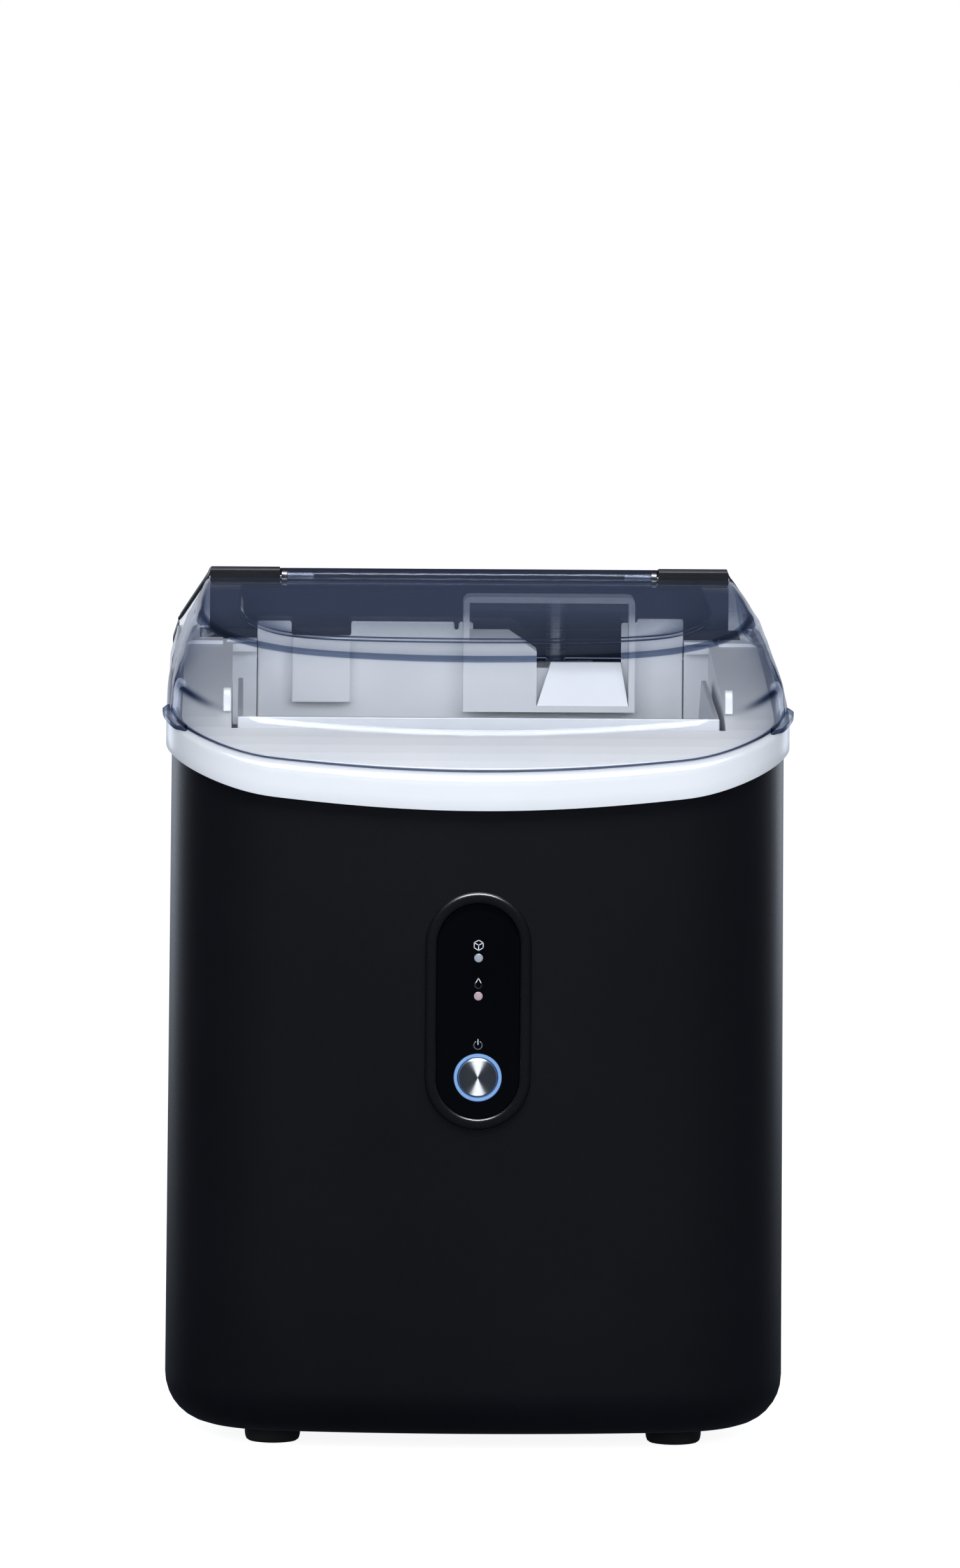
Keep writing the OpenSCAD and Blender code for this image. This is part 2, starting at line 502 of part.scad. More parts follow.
module power_inlet() color([0.05, 0.05, 0.05]) difference() {
  union() { box(70, 97, yr - 20, yr - 2.4, 100.2, 119.8); box(67.5, 99.5, yr - 2.4, yr - 0.6, 97.5, 122.5); }
  difference() {
    box(71.5, 95.5, yr - 17, yr + 1, 101.7, 118.3);
    for (x = [76.5, 90.5]) box(x - 1, x + 1, yr - 17.5, yr - 5, 106, 110);
    box(82.5, 84.5, yr - 17.5, yr - 5, 112, 116);
  }
}
module drain_port() color([0.1, 0.1, 0.11]) difference() {
  union() { rod_y(88, 40, 7, yr - 24, yr - 2.4); rod_y(88, 40, 9.5, yr - 2.4, yr - 1.6); rod_y(88, 40, 5.5, yr - 34, yr - 23); }
  rod_y(88, 40, 4.5, yr - 35, yr);
}
module drain_cap() color([0.3, 0.3, 0.32]) {
  difference() { rod_y(88, 40, 9, yr - 1.3, yr); }
  rod_y(88, 40, 4.45, yr - 14, yr - 1.2);
}

// ---- lid ----
function plate(d) = lid_top - 0.00175 * pow(max(130 - d, 0), 2) - 1.5 * pow(max(d - 130, 0) / 162, 2);
lds = [52, 60, 70, 82, 96, 112, 130, 180, 240, 294];
module lid_yz(t, z0, rear) {
  polygon(concat([[yf + 1.6 + t, z0], [yf + 1.6 + t, rim_h], [yf + 4.6 + t * 1.1, rim_h + 13.4]],
                 [for (d = lds) [yf + min(d + (d < 60 ? t * 0.3 : 0), rear), plate(d) - t]], [[yf + rear, z0]]));
}
module lid_xz(t) { polygon([[-hw + 1.4 + t, 200], [-hw + 1.4 + t, 281], [-hw + 2 + t, 285], [-103.4 + t * 0.8, lid_top + 0.2 - t], [-90, 330], [90, 330],
                            [103.4 - t * 0.8, lid_top + 0.2 - t], [hw - 2 - t, 285], [hw - 1.4 - t, 281], [hw - 1.4 - t, 200]]); }
module lid_solid(t, z0, rear) intersection() {
  translate([0, 0, 230]) linear_extrude(100) plan(1.4 + t);
  across(-hw, hw) lid_yz(t, z0, rear);
  along(yf - 2, yr) lid_xz(t);
}
module lid_shell() color([0.25, 0.3, 0.4, 0.6]) {
  difference() {
    lid_solid(0, 240, 293.2);
    lid_solid(lid_wall, 239, 300);
    across(-hw - 1, hw + 1) below_rim(lid_gap, 200);
    // the plate steps back in front of the hinge caps, and the walls end there
    for (s = [0, 1]) mirror([s, 0, 0]) box(72.4, hw + 2, yf + 286, yf + 310, 200, 330);
    // shallow recess in the plate
    intersection() {
      translate([0, 0, 240]) linear_extrude(80) plan(26);
      across(-86, 86) polygon(concat([for (d = [76, 96, 112, 130, 180, 240, 276]) [yf + d, plate(d) - 0.8]], [[yf + 276, 310], [yf + 76, 310]]));
    }
  }
  // finger tabs at the front corners
  intersection() {
    translate([0, 0, 230]) linear_extrude(100) difference() { plan(-1.4); plan(2); }
    across(-hw - 5, hw + 5) rim_band(lid_gap, 3.2);
    for (s = [0, 1]) mirror([s, 0, 0]) box(103, hw + 5, yf + 22, yf + 56, 200, 330);
  }
}
module lid_hinge_barrel() color([0.4, 0.46, 0.55, 0.6]) difference() {
  union() {
    rod_x(hinge_y, hinge_z, 4, -70.4, 70.4);
    box(-70.4, 70.4, yf + 293.25, yf + 295.4, 299.3, 301.3);
  }
  for (s = [0, 1]) mirror([s, 0, 0]) rod_x(hinge_y, hinge_z, 3, 60, 72);
}
module lid_bushes() color([0.15, 0.17, 0.25]) for (s = [0, 1]) mirror([s, 0, 0]) difference() {
  union() { rod_x(hinge_y, hinge_z, 4, 70.4, 72.6); rod_x(hinge_y, hinge_z, 3, 60, 71); }
  rod_x(hinge_y, hinge_z, 2.05, 59, 74);
}

outer_shell();
base_pan();
feet();
foot_screws();
trim_ring();
top_frame();
ice_chamber();
insulation();
rear_panel();
case_screws();
rear_top_cover();
hinge_cap_left();
hinge_cap_right();
hinge_pins();
ice_chute();
water_return_cover();
sensor_posts();
panel_bezel();
panel_face();
led_ice_full();
led_add_water();
button_light_ring();
control_board();
button_spring();
power_button();
compressor();
compressor_grommets();
condenser();
fan_shroud();
fan_motor();
fan();
evaporator_barrel();
evaporator_coil();
barrel_insulation();
auger_shaft();
auger_flight();
auger_gear();
motor_pinion();
gearbox_housing();
gearbox_cover();
gear_motor();
auger_bush_lower();
auger_bush_upper();
extruder_head();
water_tank();
water_pump();
water_hose();
float_stem();
water_float();
refrigerant_pipes();
suction_pipe();
filter_drier();
power_board();
power_inlet();
drain_port();
drain_cap();
lid_shell();
lid_hinge_barrel();
lid_bushes();
ice_basket();
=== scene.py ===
import math
import bpy, bmesh
from mathutils import Vector, Matrix


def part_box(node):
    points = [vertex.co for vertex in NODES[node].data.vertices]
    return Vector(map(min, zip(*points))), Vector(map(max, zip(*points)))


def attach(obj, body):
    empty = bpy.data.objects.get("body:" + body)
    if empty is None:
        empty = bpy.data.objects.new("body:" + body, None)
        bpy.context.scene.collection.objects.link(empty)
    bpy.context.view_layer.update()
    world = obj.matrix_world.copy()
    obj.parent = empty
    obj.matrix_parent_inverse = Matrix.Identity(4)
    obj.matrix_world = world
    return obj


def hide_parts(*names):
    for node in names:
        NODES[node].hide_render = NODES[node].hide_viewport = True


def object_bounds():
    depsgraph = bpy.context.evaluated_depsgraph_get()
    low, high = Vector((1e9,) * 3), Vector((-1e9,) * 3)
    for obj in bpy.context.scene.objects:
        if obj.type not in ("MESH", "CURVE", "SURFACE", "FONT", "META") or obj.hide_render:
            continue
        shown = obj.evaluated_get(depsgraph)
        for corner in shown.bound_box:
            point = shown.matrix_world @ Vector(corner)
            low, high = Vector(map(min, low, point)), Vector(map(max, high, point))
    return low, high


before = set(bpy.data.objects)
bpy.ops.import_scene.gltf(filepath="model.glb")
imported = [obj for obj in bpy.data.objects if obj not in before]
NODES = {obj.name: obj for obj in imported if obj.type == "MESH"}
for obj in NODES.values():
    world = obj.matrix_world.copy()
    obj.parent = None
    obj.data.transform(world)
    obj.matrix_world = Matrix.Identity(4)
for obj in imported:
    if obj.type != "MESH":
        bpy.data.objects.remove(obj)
CAD_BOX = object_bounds()
MM = 0.001
D0 = CAD_BOX[0][1] / MM          # front-most plane, mm (depth 0)
HW = 115.4                       # half-width over the trim ring, mm
_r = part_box("trim_ring")
HW = (_r[1][0] - _r[0][0]) / 2 / MM
D0 = _r[0][1] / MM


def rise(d):
    d = max(d, 0.0)
    return 20.25 * (1 - math.exp(-d / 29)) + 0.0375 * d


def rim(d):
    return 252 + rise(d)


def plate_z(d):
    return 303 - 0.00175 * max(130 - d, 0) ** 2 - 1.5 * (max(d - 130, 0) / 162) ** 2


# ------------------------------------------------------------------ materials
def new_mat(name):
    m = bpy.data.materials.new(name)
    m.use_nodes = True
    nt = m.node_tree
    for n in list(nt.nodes):
        nt.nodes.remove(n)
    out = nt.nodes.new("ShaderNodeOutputMaterial")
    p = nt.nodes.new("ShaderNodeBsdfPrincipled")
    nt.links.new(p.outputs[0], out.inputs[0])
    return m, nt, p, out


def rgba(c):
    return (c[0], c[1], c[2], 1.0)


def noise(nt, scale, detail=2.0, rough=0.5, vec=None):
    t = nt.nodes.new("ShaderNodeTexNoise")
    t.inputs["Scale"].default_value = scale
    t.inputs["Detail"].default_value = detail
    t.inputs["Roughness"].default_value = rough
    if vec is None:
        tc = nt.nodes.new("ShaderNodeTexCoord")
        vec = tc.outputs["Object"]
    nt.links.new(vec, t.inputs["Vector"])
    return t


def ramp(nt, fac, stops):
    r = nt.nodes.new("ShaderNodeValToRGB")
    while len(r.color_ramp.elements) < len(stops):
        r.color_ramp.elements.new(0.5)
    for e, (pos, col) in zip(r.color_ramp.elements, stops):
        e.position = pos
        e.color = rgba(col) if len(col) == 3 else col
    nt.links.new(fac, r.inputs["Fac"])
    return r


def maprange(nt, src, lo, hi, a=0.0, b=1.0):
    m = nt.nodes.new("ShaderNodeMapRange")
    m.inputs["From Min"].default_value = a
    m.inputs["From Max"].default_value = b
    m.inputs["To Min"].default_value = lo
    m.inputs["To Max"].default_value = hi
    nt.links.new(src, m.inputs["Value"])
    return m.outputs["Result"]


def bump(nt, p, height, strength, dist):
    b = nt.nodes.new("ShaderNodeBump")
    b.inputs["Strength"].default_value = strength
    b.inputs["Distance"].default_value = dist
    nt.links.new(height, b.inputs["Height"])
    nt.links.new(b.outputs["Normal"], p.inputs["Normal"])
    return b


def plastic(name, dark, light, rough=(0.35, 0.45), grain=2500.0, depth=0.00002, strength=0.4, blotch=18.0, coat=0.0, metal=0.0, spec=0.5):
    """moulded plastic or paint: slow colour drift, fine grain in roughness and bump"""
    m, nt, p, out = new_mat(name)
    slow = noise(nt, blotch, 3.0, 0.6)
    r = ramp(nt, slow.outputs["Fac"], [(0.3, dark), (0.7, light)])
    nt.links.new(r.outputs["Color"], p.inputs["Base Color"])
    fine = noise(nt, grain, 2.0, 0.55)
    nt.links.new(maprange(nt, fine.outputs["Fac"], rough[0], rough[1], 0.3, 0.7), p.inputs["Roughness"])
    if strength > 0:
        bump(nt, p, fine.outputs["Fac"], strength, depth)
    p.inputs["Metallic"].default_value = metal
    p.inputs["Coat Weight"].default_value = coat
    p.inputs["Coat Roughness"].default_value = 0.08
    p.inputs["Specular IOR Level"].default_value = spec
    return m


def metal(name, dark, light, rough=(0.22, 0.34), stretch=(1, 1, 60), scale=40.0, aniso=0.0):
    m, nt, p, out = new_mat(name)
    tc = nt.nodes.new("ShaderNodeTexCoord")
    mp = nt.nodes.new("ShaderNodeMapping")
    mp.inputs["Scale"].default_value = stretch
    nt.links.new(tc.outputs["Object"], mp.inputs["Vector"])
    t = noise(nt, scale, 4.0, 0.6, mp.outputs["Vector"])
    r = ramp(nt, t.outputs["Fac"], [(0.3, dark), (0.7, light)])
    nt.links.new(r.outputs["Color"], p.inputs["Base Color"])
    nt.links.new(maprange(nt, t.outputs["Fac"], rough[0], rough[1], 0.3, 0.7), p.inputs["Roughness"])
    bump(nt, p, t.outputs["Fac"], 0.15, 0.00002)
    p.inputs["Metallic"].default_value = 1.0
    p.inputs["Anisotropic"].default_value = aniso
    return m


def clear_wall(name, stops, shade_tint=(0.22, 0.27, 0.38), gain=0.52, f0=0.012, rough=0.03, haze=(0.0, 0.33), hazec=(0.13, 0.165, 0.27)):
    """thin clear moulding: light goes straight through, tinted deeper where the wall is met at a slant,
    with painted shade (a darker tint set per vertex on the mesh) along edges, creases and the dish outline, and a faint
    haze under a gloss surface"""
    m, nt, p, out = new_mat(name)
    lw = nt.nodes.new("ShaderNodeLayerWeight")
    lw.inputs["Blend"].default_value = 0.5
    tint = ramp(nt, lw.outputs["Facing"], stops)
    slow = noise(nt, 30.0, 3.0, 0.6)
    vary = ramp(nt, slow.outputs["Fac"], [(0.3, (0.985, 0.987, 0.99)), (0.7, (1.0, 1.0, 1.0))])
    mul = nt.nodes.new("ShaderNodeMixRGB")
    mul.blend_type = "MULTIPLY"
    mul.inputs[0].default_value = 1.0
    # painted shade: a per-vertex attribute darkens the tint along the lid's edges, crease and dish outline, in place of
    # the dark lines that refraction draws in a real clear wall
    at = nt.nodes.new("ShaderNodeAttribute")
    at.attribute_name = "painted_edge_shade"
    painted_edge_shade = ramp(nt, at.outputs["Fac"], [(0.0, (1.0, 1.0, 1.0)), (1.0, shade_tint)])
    both = nt.nodes.new("ShaderNodeMixRGB")
    both.blend_type = "MULTIPLY"
    both.inputs[0].default_value = 1.0
    nt.links.new(tint.outputs["Color"], both.inputs[1])
    nt.links.new(painted_edge_shade.outputs["Color"], both.inputs[2])
    nt.links.new(both.outputs[0], mul.inputs[1])
    nt.links.new(vary.outputs["Color"], mul.inputs[2])
    tr = nt.nodes.new("ShaderNodeBsdfTransparent")
    nt.links.new(mul.outputs[0], tr.inputs["Color"])
    pw = nt.nodes.new("ShaderNodeMath")
    pw.operation = "POWER"
    pw.inputs[1].default_value = 5.0
    nt.links.new(lw.outputs["Facing"], pw.inputs[0])
    f = maprange(nt, pw.outputs[0], gain * f0, gain)
    p.inputs["Base Color"].default_value = (0.92, 0.94, 1.0, 1)
    p.inputs["Metallic"].default_value = 1.0
    fine = noise(nt, 900.0, 2.0, 0.5)
    nt.links.new(maprange(nt, fine.outputs["Fac"], rough * 0.6, rough * 1.4, 0.3, 0.7), p.inputs["Roughness"])
    hz = nt.nodes.new("ShaderNodeBsdfDiffuse")
    hz.inputs["Color"].default_value = rgba(hazec)
    m0 = nt.nodes.new("ShaderNodeMixShader")
    nt.links.new(maprange(nt, pw.outputs[0], haze[0], haze[1]), m0.inputs["Fac"])
    nt.links.new(tr.outputs[0], m0.inputs[1])
    nt.links.new(hz.outputs[0], m0.inputs[2])
    mx = nt.nodes.new("ShaderNodeMixShader")
    nt.links.new(f, mx.inputs["Fac"])
    nt.links.new(m0.outputs[0], mx.inputs[1])
    nt.links.new(p.outputs[0], mx.inputs[2])
    nt.links.new(mx.outputs[0], out.inputs[0])
    return m


M = {}
M["shell"] = plastic("satin_black_coat", (0.0018, 0.0022, 0.0036), (0.0028, 0.0033, 0.0052), (0.34, 0.46), 2600.0, 0.00003, 0.35, 9.0, 0.0, 0.0, 0.34)
M["ring"] = plastic("gloss_white", (0.63, 0.655, 0.70), (0.66, 0.685, 0.73), (0.28, 0.34), 1200.0, 0.000008, 0.08, 12.0, 0.1)
M["white"] = plastic("satin_white", (0.90, 0.91, 0.93), (0.93, 0.94, 0.955), (0.38, 0.5), 1600.0, 0.000015, 0.15, 15.0)
M["white_dim"] = plastic("satin_white_dim", (0.62, 0.65, 0.71), (0.68, 0.71, 0.77), (0.4, 0.5), 1600.0, 0.000015, 0.15, 15.0)
M["basket"] = plastic("frosted_white", (0.62, 0.64, 0.68), (0.67, 0.69, 0.73), (0.34, 0.46), 1600.0, 0.00001, 0.12, 20.0)
M["black"] = plastic("satin_black_plastic", (0.0040, 0.0048, 0.0072), (0.0065, 0.0074, 0.0105), (0.36, 0.5), 2200.0, 0.00003, 0.35, 20.0, 0.0, 0.0, 0.3)
M["bezel"] = plastic("bezel_black", (0.0025, 0.0028, 0.0038), (0.0035, 0.0038, 0.005), (0.26, 0.34), 2600.0, 0.00001, 0.2, 20.0)
M["face"] = plastic("piano_black", (0.0006, 0.0007, 0.0011), (0.001, 0.0011, 0.0016), (0.03, 0.05), 300.0, 0.000002, 0.04, 20.0, 0.2, 0.0, 0.35)
M["rubber"] = plastic("rubber", (0.010, 0.010, 0.011), (0.016, 0.016, 0.017), (0.55, 0.7), 1400.0, 0.00005, 0.5, 60.0)
M["icon"] = plastic("icon_grey", (0.52, 0.56, 0.64), (0.60, 0.64, 0.72), (0.4, 0.5), 1500.0, 0.000005, 0.1, 200.0)
M["steel"] = metal("plain_steel", (0.55, 0.56, 0.58), (0.66, 0.67, 0.69))
M["alu"] = metal("bare_aluminium", (0.62, 0.63, 0.65), (0.74, 0.75, 0.77), (0.3, 0.42))
M["copper"] = metal("copper_tube", (0.62, 0.33, 0.20), (0.76, 0.43, 0.28), (0.25, 0.4), (1, 1, 3), 60.0)
M["bronze"] = metal("sintered_bronze", (0.52, 0.36, 0.14), (0.64, 0.46, 0.2), (0.4, 0.55), (1, 1, 1), 300.0)
M["enamel"] = plastic("black_enamel", (0.012, 0.012, 0.013), (0.02, 0.02, 0.022), (0.2, 0.3), 900.0, 0.00002, 0.3, 30.0, 0.3)
M["foam"] = plastic("foam", (0.66, 0.56, 0.34), (0.8, 0.72, 0.5), (0.8, 0.95), 500.0, 0.0004, 0.8, 40.0)
M["sleeve"] = plastic("foam_sleeve", (0.02, 0.02, 0.022), (0.035, 0.035, 0.038), (0.8, 0.95), 700.0, 0.0003, 0.8, 60.0)
M["board"] = plastic("circuit_board", (0.012, 0.075, 0.03), (0.02, 0.11, 0.045), (0.3, 0.45), 600.0, 0.00003, 0.4, 200.0)
M["nylon"] = plastic("nylon", (0.68, 0.66, 0.56), (0.76, 0.74, 0.64), (0.4, 0.5), 1500.0, 0.00001, 0.2, 60.0)
M["hose"] = plastic("silicone_hose", (0.55, 0.58, 0.62), (0.64, 0.67, 0.7), (0.3, 0.4), 800.0, 0.00001, 0.2, 50.0)
M["lid"] = clear_wall("smoked_clear", [(0.0, (0.966, 0.968, 0.975)), (0.65, (0.945, 0.950, 0.962)), (0.9, (0.87, 0.89, 0.925)), (1.0, (0.42, 0.49, 0.62))])
M["barrel"] = clear_wall("smoked_clear_barrel", [(0.0, (0.72, 0.76, 0.85)), (0.6, (0.55, 0.60, 0.72)), (1.0, (0.30, 0.36, 0.50))], gain=0.2, f0=0.04, rough=0.10, haze=(0.10, 0.25), hazec=(0.17, 0.21, 0.33))
M["bush"] = plastic("dark_bush", (0.012, 0.014, 0.022), (0.02, 0.023, 0.034), (0.2, 0.3), 800.0, 0.00001, 0.1, 60.0)


def glow_mat(name, base, emit, strength):
    m, nt, p, out = new_mat(name)
    slow = noise(nt, 400.0, 2.0, 0.5)
    r = ramp(nt, slow.outputs["Fac"], [(0.3, [c * 0.92 for c in base]), (0.7, base)])
    nt.links.new(r.outputs["Color"], p.inputs["Base Color"])
    p.inputs["Roughness"].default_value = 0.3
    p.inputs["Emission Color"].default_value = rgba(emit)
    p.inputs["Emission Strength"].default_value = strength
    return m


M["led_a"] = glow_mat("led_lens_grey", (0.22, 0.26, 0.30), (0.50, 0.56, 0.64), 0.10)
M["led_b"] = glow_mat("led_lens_pink", (0.34, 0.25, 0.30), (0.64, 0.48, 0.56), 0.10)
M["light"] = glow_mat("blue_light_guide", (0.10, 0.18, 0.32), (0.16, 0.33, 0.68), 0.55)


def spun_metal():
    """turned face: concentric grooves"""
    m, nt, p, out = new_mat("spun_steel")
    tc = nt.nodes.new("ShaderNodeTexCoord")
    mp = nt.nodes.new("ShaderNodeMapping")
    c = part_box("power_button")
    cx, cz = (c[0][0] + c[1][0]) / 2, (c[0][2] + c[1][2]) / 2
    mp.inputs["Location"].default_value = (-cx, -c[0][1], -cz)
    nt.links.new(tc.outputs["Object"], mp.inputs["Vector"])
    w = nt.nodes.new("ShaderNodeTexWave")
    w.wave_type = "RINGS"
    w.rings_direction = "Y"
    w.wave_profile = "SIN"
    w.inputs["Scale"].default_value = 1400.0
    w.inputs["Distortion"].default_value = 0.6
    w.inputs["Detail"].default_value = 2.0
    nt.links.new(mp.outputs["Vector"], w.inputs["Vector"])
    r = ramp(nt, w.outputs["Fac"], [(0.0, (0.74, 0.75, 0.78)), (1.0, (0.88, 0.89, 0.92))])
    nt.links.new(r.outputs["Color"], p.inputs["Base Color"])
    nt.links.new(maprange(nt, w.outputs["Fac"], 0.40, 0.46), p.inputs["Roughness"])
    p.inputs["Metallic"].default_value = 1.0
    p.inputs["Anisotropic"].default_value = 0.97
    p.inputs["Anisotropic Rotation"].default_value = 0.25
    tg = nt.nodes.new("ShaderNodeTangent")
    tg.direction_type = "RADIAL"
    tg.axis = "Y"
    nt.links.new(tg.outputs["Tangent"], p.inputs["Tangent"])
    bump(nt, p, w.outputs["Fac"], 0.12, 0.00001)
    return m


M["spun"] = spun_metal()


# ------------------------------------------------------------------ geometry
def P(x, d, z):
    """x across, d back from the front plane, z up, in mm, to the row frame in metres"""
    return Vector((x * MM, (D0 + d) * MM, z * MM))


def make(name, verts, faces, mat, smooth=True, body="root", slot=None, angle=None, painted_edge_shade=None):
    me = bpy.data.meshes.new(name)
    me.from_pydata([tuple(v) for v in verts], [], faces)
    # optional per-vertex painted shade for the clear lid's edges, kept as a mesh attribute
    if painted_edge_shade:
        me.attributes.new("painted_edge_shade", "FLOAT", "POINT").data.foreach_set("value", painted_edge_shade)
    me.validate()
    bm = bmesh.new()
    bm.from_mesh(me)
    bmesh.ops.remove_doubles(bm, verts=bm.verts, dist=1e-7)
    bmesh.ops.recalc_face_normals(bm, faces=bm.faces)
    bm.to_mesh(me)
    bm.free()
    for p in me.polygons:
        p.use_smooth = smooth
    me.materials.append(mat)
    o = bpy.data.objects.new(name, me)
    bpy.context.scene.collection.objects.link(o)
    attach(o, body)
    if angle:
        sharpen(o, angle)
    return o


def sharpen(o, deg):
    """marks edges sharper than deg, so smooth shading stops there"""
    me = o.data
    bm = bmesh.new()
    bm.from_mesh(me)
    lim = math.radians(deg)
    for e in bm.edges:
        e.smooth = not (len(e.link_faces) == 2 and e.calc_face_angle(0) > lim)
    bm.to_mesh(me)
    bm.free()


def bevel(o, width, segs=2, deg=30):
    b = o.modifiers.new("edge", "BEVEL")
    b.width = width * MM
    b.segments = segs
    b.limit_method = "ANGLE"
    b.angle_limit = math.radians(deg)
    b.harden_normals = False
    b.use_clamp_overlap = True
    w = o.modifiers.new("wn", "WEIGHTED_NORMAL")
    w.keep_sharp = True
    w.weight = 60


def boolean(o, cutter, op="DIFFERENCE", solver="EXACT"):
    m = o.modifiers.new("cut", "BOOLEAN")
    m.operation = op
    m.solver = solver
    m.object = cutter
    bpy.context.view_layer.update()
    dg = bpy.context.evaluated_depsgraph_get()
    me = bpy.data.meshes.new_from_object(o.evaluated_get(dg))
    o.modifiers.remove(m)
    old = o.data
    o.data = me
    bpy.data.meshes.remove(old)
    bpy.data.objects.remove(cutter)


def raw(name, verts, faces):
    """a cutter, not kept"""
    me = bpy.data.meshes.new(name)
    me.from_pydata([tuple(v) for v in verts], [], faces)
    bm = bmesh.new()
    bm.from_mesh(me)
    bmesh.ops.recalc_face_normals(bm, faces=bm.faces)
    bm.to_mesh(me)
    bm.free()
    o = bpy.data.objects.new(name, me)
    bpy.context.scene.collection.objects.link(o)
    return o


def box_vf(boxes):
    """verts and faces of boxes given as (x0, x1, d0, d1, z0, z1)"""
    vs, fs = [], []
    for x0, x1, a, b, z0, z1 in boxes:
        k = len(vs)
        vs += [P(x, d, z) for z in (z0, z1) for d in (a, b) for x in (x0, x1)]
        fs += [tuple(k + i for i in f) for f in ((0, 2, 3, 1), (4, 5, 7, 6), (0, 1, 5, 4), (2, 6, 7, 3), (0, 4, 6, 2), (1, 3, 7, 5))]
    return vs, fs


def u_outline(o, w, R, rc, d0, d1, ns=12, nc=16, na=28):
    """open outline from rear left round the front to rear right; o insets it"""
    W, cx = w - o, w - rc
    ri = max(rc - o, 0.5)
    cd = d0 + R - math.sqrt((R - rc) ** 2 - cx ** 2)
    phi = math.asin(cx / (R - rc))
    pts = []
    for i in range(ns):
        t = i / ns
        pts.append((-W, d1 + (cd - d1) * t))
    for i in range(nc):
        a = math.pi + (math.pi / 2 - phi) * i / nc
        pts.append((-cx + ri * math.cos(a), cd + ri * math.sin(a)))
    a0, a1 = 1.5 * math.pi - phi, 1.5 * math.pi + phi
    for i in range(na + 1):
        a = a0 + (a1 - a0) * i / na
        pts.append(((R - o) * math.cos(a), d0 + R + (R - o) * math.sin(a)))
    half = pts[: ns + nc]
    for x, d in reversed(half):
        pts.append((-x, d))
    return pts


def strip_faces(n, rows, closed=False, off=0):
    f = []
    for j in range(rows - 1):
        for i in range(n if closed else n - 1):
            a, b = off + j * n + i, off + j * n + (i + 1) % n
            f.append((a, b, b + n, a + n))
    return f


def lerp(a, b, t):
    return a + (b - a) * t


def smooth(t):
    t = min(max(t, 0.0), 1.0)
    return t * t * (3 - 2 * t)


def curve_pts(pts, n):
    """n points at even spacing along a Catmull-Rom curve through pts"""
    ext = [(2 * pts[0][0] - pts[1][0], 2 * pts[0][1] - pts[1][1])] + list(pts) + [(2 * pts[-1][0] - pts[-2][0], 2 * pts[-1][1] - pts[-2][1])]
    dense = []
    for i in range(1, len(ext) - 2):
        p0, p1, p2, p3 = ext[i - 1], ext[i], ext[i + 1], ext[i + 2]
        for k in range(24):
            t = k / 24
            dense.append(tuple(0.5 * (2 * p1[j] + (p2[j] - p0[j]) * t + (2 * p0[j] - 5 * p1[j] + 4 * p2[j] - p3[j]) * t * t + (3 * p1[j] - p0[j] - 3 * p2[j] + p3[j]) * t ** 3) for j in (0, 1)))
    dense.append(tuple(pts[-1]))
    cum = [0.0]
    for a, b in zip(dense, dense[1:]):
        cum.append(cum[-1] + math.dist(a, b))
    out, k = [], 0
    for i in range(n):
        s = cum[-1] * i / (n - 1)
        while k < len(cum) - 2 and cum[k + 1] < s:
            k += 1
        t = (s - cum[k]) / max(cum[k + 1] - cum[k], 1e-9)
        out.append((lerp(dense[k][0], dense[k + 1][0], t), lerp(dense[k][1], dense[k + 1][1], t)))
    return out


def closed_outline(o, w, d1=316.0, R=450.0, rc=48.0, rr=9.0, ns=14, nc=14, na=40, nr=6, nb=6):
    """whole plan of the body: rear left, left side, front, right side, rear; o insets it from half-width w"""
    W, cx = w - o, w - rc
    ri = rc - o
    cd = R - math.sqrt((R - rc) ** 2 - cx ** 2)
    phi = math.asin(cx / (R - rc))
    b, r2 = d1 - o, max(rr - o * 0.4, 0.8)
    h = []                                   # left half, from rear middle
    for i in range(nb):
        h.append((-(W - r2) * i / nb, b))
    for i in range(nr):
        a = math.pi / 2 * i / nr
        h.append((-(W - r2) - r2 * math.sin(a), b - r2 + r2 * math.cos(a)))
    for i in range(ns):
        h.append((-W, lerp(b - r2, cd, i / ns)))
    for i in range(nc):
        a = math.pi + (math.pi / 2 - phi) * i / nc
        h.append((-cx + ri * math.cos(a), cd + ri * math.sin(a)))
    a0, a1 = 1.5 * math.pi - phi, 1.5 * math.pi
    for i in range(na // 2):
        a = a0 + (a1 - a0) * i / (na // 2)
        h.append(((R - o) * math.cos(a), R + (R - o) * math.sin(a)))
    front = [(0.0, R - (R - o))]
    return h + front + [(-x, d) for x, d in reversed(h[1:])]


